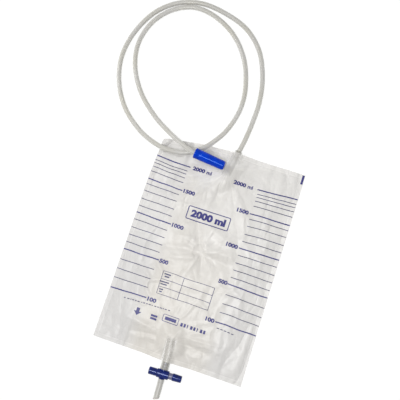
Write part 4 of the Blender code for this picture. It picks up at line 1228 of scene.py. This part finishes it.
def rounded_end(length, radius, rounding, steps):
    """A quarter circle from a piece's side to its end."""
    angles = [math.radians(90.0 * step / steps) for step in range(steps + 1)]
    return [(length - rounding * (1.0 - math.sin(angle)), radius - rounding * (1.0 - math.cos(angle)))
            for angle in angles]


def hub_outline():
    """The tap's hub, with its edges rounded and its bore's ends chamfered."""
    end = [(HUB_HALF - 0.2, HUB_BORE_R), (HUB_HALF, HUB_BORE_R + 0.25), (HUB_HALF, HUB_R - 0.4),
           (HUB_HALF - 0.2, HUB_R - 0.12), (HUB_HALF - 0.5, HUB_R), (HUB_HALF - 0.8, HUB_R)]
    return [(-station, radius) for station, radius in end] + end[::-1]


def stub_outline(collar_r, stub_r, length):
    """A stub of the tap for a soft tube: a collar, then barbs."""
    root_r = stub_r - STUB_RIB
    outline = [(STUB_ROOT, PORT_R), (STUB_ROOT, collar_r), (STUB_SEAT - 0.25, collar_r),
               (STUB_SEAT - 0.07, collar_r - 0.07), (STUB_SEAT, collar_r - 0.25), (STUB_SEAT, root_r)]
    pitch = length / (STUB_RIBS + 0.5)
    for rib in range(STUB_RIBS):
        at = STUB_SEAT + pitch * (rib + 0.4)
        outline += [(at, root_r), (at + 0.08, stub_r), (at + 0.5 * pitch, root_r)]
    end = STUB_SEAT + length
    return outline + [(end - 0.2, root_r), (end, stub_r - 0.5), (end, PORT_R)]


def knob_outline(face, way, length, end_r):
    """A knob from its socket's floor, round its rim and along to its dished end."""
    socket_r = TENON_R + SLIDE_GAP
    depth = TENON + SLIDE_GAP + TOUCH_GAP
    outline = [(depth, 0.0), (depth, socket_r), (0.0, socket_r), (0.0, KNOB_R - 0.4), (0.12, KNOB_R - 0.12),
               (0.4, KNOB_R), (0.7, KNOB_R), (length - 1.2, end_r + 0.012)]
    outline += rounded_end(length, end_r, 0.9, 6)
    outline += [(length, 3.1), (length - 0.25, 2.9), (length - 0.25, 0.0)]
    return [(face + way * station, radius) for station, radius in outline]


def plunger_outline():
    """The plunger: a tenon at each end, three seal grooves and the flow waist."""
    left = KNOB_LEFT + SLIDE_GAP
    right = KNOB_RIGHT - SLIDE_GAP
    outline = [(left - TENON, 0.0), (left - TENON, TENON_R - 0.15), (left - TENON + 0.15, TENON_R),
               (left, TENON_R), (left, PLUNGER_R - 0.1), (left + 0.1, PLUNGER_R)]
    grooves = [(seal - SEAL_GROOVE / 2, seal + SEAL_GROOVE / 2, SEAL_GROOVE_R)
               for seal in (-INNER_SEAL, INNER_SEAL, OUTER_SEAL)]
    grooves.append((WAIST_START, WAIST_END, WAIST_R))
    for start, end, radius in sorted(grooves):
        outline += [(start, PLUNGER_R), (start, radius), (end, radius), (end, PLUNGER_R)]
    return outline + [(right - 0.1, PLUNGER_R), (right, PLUNGER_R - 0.1), (right, TENON_R),
                      (right + TENON - 0.15, TENON_R), (right + TENON, TENON_R - 0.15), (right + TENON, 0.0)]


# Operators

class DRAINAGE_BAG_OT_camera(bpy.types.Operator):
    """Look down on the bag from where it was photographed"""

    bl_idname = "drainage_bag.camera"
    bl_label = "Camera"

    def execute(self, context):
        data = bpy.data.cameras.new("camera")
        data.sensor_width = SENSOR
        data.lens = SENSOR * FOCAL_PIXELS / PHOTO_PIXELS
        camera = linked("camera", data)
        back = Vector(CAMERA_BACK).normalized()
        up = back.cross(Vector(CAMERA_RIGHT)).normalized()
        turn = Matrix((up.cross(back), up, back)).transposed().to_4x4()
        camera.matrix_world = Matrix.Translation(in_frame(CAMERA_PLACE)) @ turn
        context.scene.camera = camera
        return {"FINISHED"}


class DRAINAGE_BAG_OT_connector(bpy.types.Operator):
    """Make the catheter connector and the cap that covers it"""

    bl_idname = "drainage_bag.connector"
    bl_label = "Connector and cap"

    def execute(self, context):
        look = settings("fittings")
        natural = moulded_finish("natural_plastic", look.natural, [0.9 * c for c in look.natural], 0.38)
        fitting("connector", "bag", "natural_plastic", "catheter_connector", connector_outline(),
                look.facets, CAP_MOUTH, CAP_HEADING, natural, 35.0)
        royal = moulded_finish("royal_plastic", look.royal, (0.0, 0.026, 0.40), 0.12, 0.25, (0.25, 0.5, 1.0))
        fitting("cap", "cap", "royal_plastic", "connector_cap", cap_outline(),
                look.facets, CAP_MOUTH, CAP_HEADING, royal, 50.0)
        return {"FINISHED"}


class DRAINAGE_BAG_OT_inlet_tube(bpy.types.Operator):
    """Lay the long inlet tube in its two loops"""

    bl_idname = "drainage_bag.inlet_tube"
    bl_label = "Inlet tube"

    def execute(self, context):
        look = settings("tubes")
        start = INLET_MOUTH + INLET_AXIS * TUBE_LEAD
        end = CAP_MOUTH - CAP_AXIS * TUBE_LEAD
        in_port = [INLET_MOUTH - INLET_AXIS * depth for depth in (TUBE_GRIP, 5.0)]
        in_socket = [CAP_MOUTH + CAP_AXIS * depth for depth in (5.0, SOCKET_END - TOUCH_GAP)]
        path = np.concatenate([in_port, smooth_route([start, *ROUTE, end], TUBE_STEP), in_socket])
        path[:, 2] = np.maximum(path[:, 2], look.outer_r + GROUND_GAP)
        paint = tube_finish("inlet_tube_plastic", look, 0.6, 0.2, 0.4)
        radii = (look.outer_r, look.bore_r)
        tube = tube_piece("long_tube", "inlet_tube", "inlet_tube", path, radii, 32, paint)
        return {"FINISHED"}


class DRAINAGE_BAG_OT_ports(bpy.types.Operator):
    """Make the inlet port, the outlet tube and the drain tube"""

    bl_idname = "drainage_bag.ports"
    bl_label = "Ports and drain"

    def execute(self, context):
        look = settings("tubes")
        paint = tube_finish("clear_tube_plastic", look, 0.3, 0.6)
        path = [INLET_MOUTH - INLET_AXIS * depth for depth in np.linspace(0.0, INLET_DEPTH, 9)]
        soft = tube_finish("port_plastic", look, 0.2, 0.7, 0.4)
        tube_piece("port_stub", "clear_tube", "inlet_port", path, (INLET_R, TUBE_SOCKET_R), 48, soft)
        heights = np.linspace(BOTTOM_EDGE - OUTLET_HANG, BOTTOM_EDGE + OUTLET_DEPTH, 25)
        path = [(outlet_axis_x(y), y, OUTLET_Z) for y in heights]
        tube_piece("outlet_sleeve", "clear_tube", "outlet_tube", path, (OUTLET_R, OUTLET_BORE_R), 48, paint)
        path = [TAP - (TUBE_SEAT + down) * TAP_UP for down in np.linspace(0.0, DRAIN_LENGTH, 9)]
        frosted = tube_finish("drain_plastic", look, 0.55, 0.5)
        tube_piece("drain_spout", "clear_tube", "drain_tube", path, (DRAIN_R, DRAIN_BORE_R), 48, frosted,
                   DRAIN_SLANT)
        return {"FINISHED"}


class DRAINAGE_BAG_OT_films(bpy.types.Operator):
    """Make the two creased films and the non-return sleeve"""

    bl_idname = "drainage_bag.films"
    bl_label = "Films"

    def execute(self, context):
        look = settings("film")
        paint = film_finish("front_film_plastic", look, look.front_opacity)
        front = film_sheet("front_sheet", 0, look.cell, look.crease_height, paint)
        carried(front, "bag", "clear_film", "bag_front_film")
        paint = film_finish("back_film_plastic", look, look.back_opacity)
        back = film_sheet("back_sheet", 1, 1.6 * look.cell, look.crease_height, paint)
        carried(back, "bag", "clear_film", "bag_back_film")
        paint = film_finish("sleeve_plastic", look, 0.8 * look.back_opacity)
        for side, name in enumerate(("front", "back")):
            sleeve = sleeve_sheet("sleeve_" + name, side, paint)
            carried(sleeve, "bag", "sleeve_film", "nonreturn_film_" + name)
        return {"FINISHED"}


class DRAINAGE_BAG_OT_scale(bpy.types.Operator):
    """Print the scale lines, the table's lines and the dashes"""

    bl_idname = "drainage_bag.scale"
    bl_label = "Printed scale"

    def scale_lines(self, volumes, inner, width):
        """The left and the right line of each volume."""
        bars = []
        for volume in volumes:
            outer_l, inner_l, inner_r, outer_r = line_heights(volume)
            bars.append(ruled((-LINE_OUTER, outer_l), (inner[0], inner_l), width))
            bars.append(ruled((inner[1], inner_r), (LINE_OUTER, outer_r), width))
        return bars

    def table_lines(self):
        """The table's ruled lines."""
        left, right = TABLE_COLUMNS[0], TABLE_COLUMNS[-1]
        top, bottom = TABLE_ROWS[0] + 0.25, TABLE_ROWS[-1] - 0.25
        rows = [ruled((left, y), (right, y), 0.65) for y in TABLE_ROWS]
        return rows + [ruled((x, bottom), (x, top), 0.7) for x in TABLE_COLUMNS]

    def dashes(self):
        """The broken lines under the scales, and the strokes in the table."""
        bars = []
        start, height = BROKEN_START
        at = start
        for k in range(BROKEN_DASHES):
            length = BROKEN_LENGTHS[k % len(BROKEN_LENGTHS)]
            bars.append((at + length / 2, height + BROKEN_SLOPE * (at - start), length, 1.1, BROKEN_SLOPE))
            at += length + (1.2 if k % 5 else 2.2)
        for x, y, length in TABLE_STROKES:
            bars.append((x, y, length, 1.6, 0.0))
            bars.append((x, y - 3.1, 0.7 * length, 1.6, 0.0))
        return bars + [(50.6 + 4.9 * k, -83.2 - 0.3 * k, 3.4, 1.0, 0.0) for k in range(5)]

    def execute(self, context):
        look = settings("print")
        film = bpy.data.objects["front_sheet"]
        thick_ink = ink_finish("thick_ink", look.ink, 0.95)
        thin_ink = ink_finish("thin_ink", shade(0.020, 0.020, 0.08), 0.92)
        fine = [volume for volume, _ in LEVELS if volume not in LINE_ENDS]
        thick_bars = self.scale_lines(LINE_ENDS, MAIN_INNER, look.thick_line)
        thin_bars = self.scale_lines(fine, FINE_INNER, look.thin_line) + self.table_lines()
        printed_bars("main_lines", thick_bars, film, 90, look, thick_ink)
        printed_bars("fine_lines", thin_bars, film, 90, look, thin_ink)
        printed_bars("small_dashes", self.dashes(), film, 4, look, thin_ink)
        return {"FINISHED"}


class DRAINAGE_BAG_OT_labels(bpy.types.Operator):
    """Print the figures, the title frame and the plain marks"""

    bl_idname = "drainage_bag.labels"
    bl_label = "Figures and frames"

    def execute(self, context):
        look = settings("print")
        film = bpy.data.objects["front_sheet"]
        ink = ink_finish("figure_ink", look.ink, 0.95)
        shapes = []
        for volume, left, right, width in FIGURES:
            _, inner_l, inner_r, _ = line_heights(volume)
            for at, y in ((left, inner_l - FIGURE_DROP), (right, inner_r - FIGURE_DROP)):
                shapes.append(lettering(str(volume), at, y, width, FIGURE_HEIGHT, 0.052))
                if volume == 2000:
                    shapes.append(lettering("ml", at + width + 2.4, y, 7.0, 5.2, 0.035))
        shapes.append(lettering("2000 ml", -29.0, 42.8, 47.6, 10.2, 0.06))
        shapes += [outline_band(*TITLE_FRAME), outline_band(*SMALL_FRAME)]
        shapes += [rectangle(*block) for block in BLOCKS]
        shapes.append((np.array(ARROW_TIP), [(0, 1, 2)]))
        for k in range(STROKE_COUNT):
            shapes.append(rectangle(STROKE_ROW[0] + STROKE_PITCH * k, STROKE_ROW[1],
                                    STROKE_WIDTHS[k % len(STROKE_WIDTHS)], STROKE_HEIGHT))
        lay_on_film("figures", shapes, film, look.lift, ink)
        return {"FINISHED"}


class DRAINAGE_BAG_OT_tap(bpy.types.Operator):
    """Make the push-pull tap: body, plunger and knobs"""

    bl_idname = "drainage_bag.tap"
    bl_label = "Tap"

    def execute(self, context):
        look = settings("fittings")
        navy = moulded_finish("navy_plastic", look.navy, (0.0, 0.003, 0.06), 0.10, 0.38, (0.58, 0.67, 1.0))
        upper = stub_outline(COLLAR_R, OUTLET_BORE_R - SLIDE_GAP, UPPER_STUB)
        lower = stub_outline(DRAIN_R, DRAIN_BORE_R - SLIDE_GAP, LOWER_STUB)
        shapes = [turned(hub_outline(), look.facets)]
        for stub, heading in ((upper, math.pi / 2), (lower, -math.pi / 2)):
            shapes.append(moved(turned(stub, look.facets), (0.0, 0.0, 0.0), heading))
        points, faces = moved(joined(shapes), TAP, TAP_TURN)
        body = outward(piece("tap_hub", in_frame(points), faces, navy, 30.0))
        carried(body, "bag", "navy_plastic", "tap_body")

        knobs = {"left": (KNOB_LEFT, -1.0, KNOB_LEFT_LENGTH, KNOB_R),
                 "right": (KNOB_RIGHT, 1.0, KNOB_RIGHT_LENGTH, KNOB_RIGHT_END_R)}
        for side, sizes in knobs.items():
            fitting(side + "_knob", "plunger", "navy_plastic", "tap_knob_" + side, knob_outline(*sizes),
                    look.facets, TAP, TAP_TURN, navy)
        natural = moulded_finish("plunger_plastic", look.rod, [0.85 * c for c in look.rod], 0.3)
        fitting("plunger_rod", "plunger", "natural_plastic", "tap_plunger", plunger_outline(),
                look.facets, TAP, TAP_TURN, natural)

        rubber = rubber_finish("seal_rubber")
        for count in (1, 2, 3):
            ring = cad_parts["seal_ring_%d" % count]
            ring.data.materials.clear()
            ring.data.materials.append(rubber)
        return {"FINISHED"}


class DRAINAGE_BAG_OT_stage(bpy.types.Operator):
    """Set up the white ground and the soft studio light"""

    bl_idname = "drainage_bag.stage"
    bl_label = "Stage"

    def softbox(self, name, place, target, width, height, power):
        """One rectangular light, turned to its target."""
        data = bpy.data.lights.new(name, "AREA")
        data.shape = "RECTANGLE"
        data.size = width
        data.size_y = height
        data.energy = power
        obj = linked(name, data)
        obj.location = in_frame(place)
        obj.rotation_mode = "QUATERNION"
        aim = Vector(in_frame(target)) - obj.location
        obj.rotation_quaternion = aim.to_track_quat("-Z", "Y")

    def execute(self, context):
        look = settings("stage")
        points = [(x, y, -0.0001) for x, y in ((-3, -3), (3, -3), (3, 3), (-3, 3))]
        floor = piece("ground", points, [(0, 1, 2, 3)], floor_finish(look))
        for name, layout in SOFTBOXES.items():
            self.softbox(name + "_softbox", *layout, getattr(look, name + "_power"))
        world = bpy.data.worlds.new("white studio")
        world.use_nodes = True
        world.node_tree.nodes.clear()
        tree = Tree(world.node_tree)
        strength = tree.background_rays() * (1.0 - look.sky) + look.sky
        sky = tree.add("ShaderNodeBackground", None, {"Color": shade(1.0, 1.0, 1.0), "Strength": strength})
        tree.add("ShaderNodeOutputWorld", None, {"Surface": sky})
        context.scene.world = world
        context.scene.view_settings.view_transform = "Standard"
        return {"FINISHED"}


class DRAINAGE_BAG_PT_panel(bpy.types.Panel):
    """Lists the pieces and their settings"""

    bl_idname = "DRAINAGE_BAG_PT_panel"
    bl_label = "Drainage bag"
    bl_space_type = "VIEW_3D"
    bl_region_type = "UI"
    bl_category = "Drainage bag"

    def draw(self, context):
        for operator in OPERATORS:
            self.layout.operator(operator.bl_idname)
        for name, group in GROUPS.items():
            box = self.layout.box()
            box.label(text=group.__doc__)
            for key in group.__annotations__:
                box.prop(settings(name), key)


GROUPS = {
    "film": DrainageBagFilm,
    "print": DrainageBagPrint,
    "tubes": DrainageBagTubes,
    "fittings": DrainageBagFittings,
    "stage": DrainageBagStage,
}
OPERATORS = (
    DRAINAGE_BAG_OT_camera,
    DRAINAGE_BAG_OT_connector,
    DRAINAGE_BAG_OT_inlet_tube,
    DRAINAGE_BAG_OT_ports,
    DRAINAGE_BAG_OT_films,
    DRAINAGE_BAG_OT_scale,
    DRAINAGE_BAG_OT_labels,
    DRAINAGE_BAG_OT_tap,
    DRAINAGE_BAG_OT_stage,
)


def register():
    """Make the settings, the operators and the panel known to Blender."""
    for group in GROUPS.values():
        bpy.utils.register_class(group)
    for operator in OPERATORS:
        bpy.utils.register_class(operator)
    bpy.utils.register_class(DRAINAGE_BAG_PT_panel)
    for name, group in GROUPS.items():
        setattr(bpy.types.Scene, "drainage_bag_" + name, bpy.props.PointerProperty(type=group))


def unregister():
    """Take them out again."""
    for name in GROUPS:
        delattr(bpy.types.Scene, "drainage_bag_" + name)
    bpy.utils.unregister_class(DRAINAGE_BAG_PT_panel)
    for operator in reversed(OPERATORS):
        bpy.utils.unregister_class(operator)
    for group in reversed(GROUPS.values()):
        bpy.utils.unregister_class(group)


def main():
    """Make every piece."""
    register()
    bpy.ops.drainage_bag.camera()
    bpy.ops.drainage_bag.connector()
    bpy.ops.drainage_bag.inlet_tube()
    bpy.ops.drainage_bag.ports()
    bpy.ops.drainage_bag.films()
    bpy.ops.drainage_bag.scale()
    bpy.ops.drainage_bag.labels()
    bpy.ops.drainage_bag.tap()
    bpy.ops.drainage_bag.stage()
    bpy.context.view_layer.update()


if __name__ == "__main__":
    main()
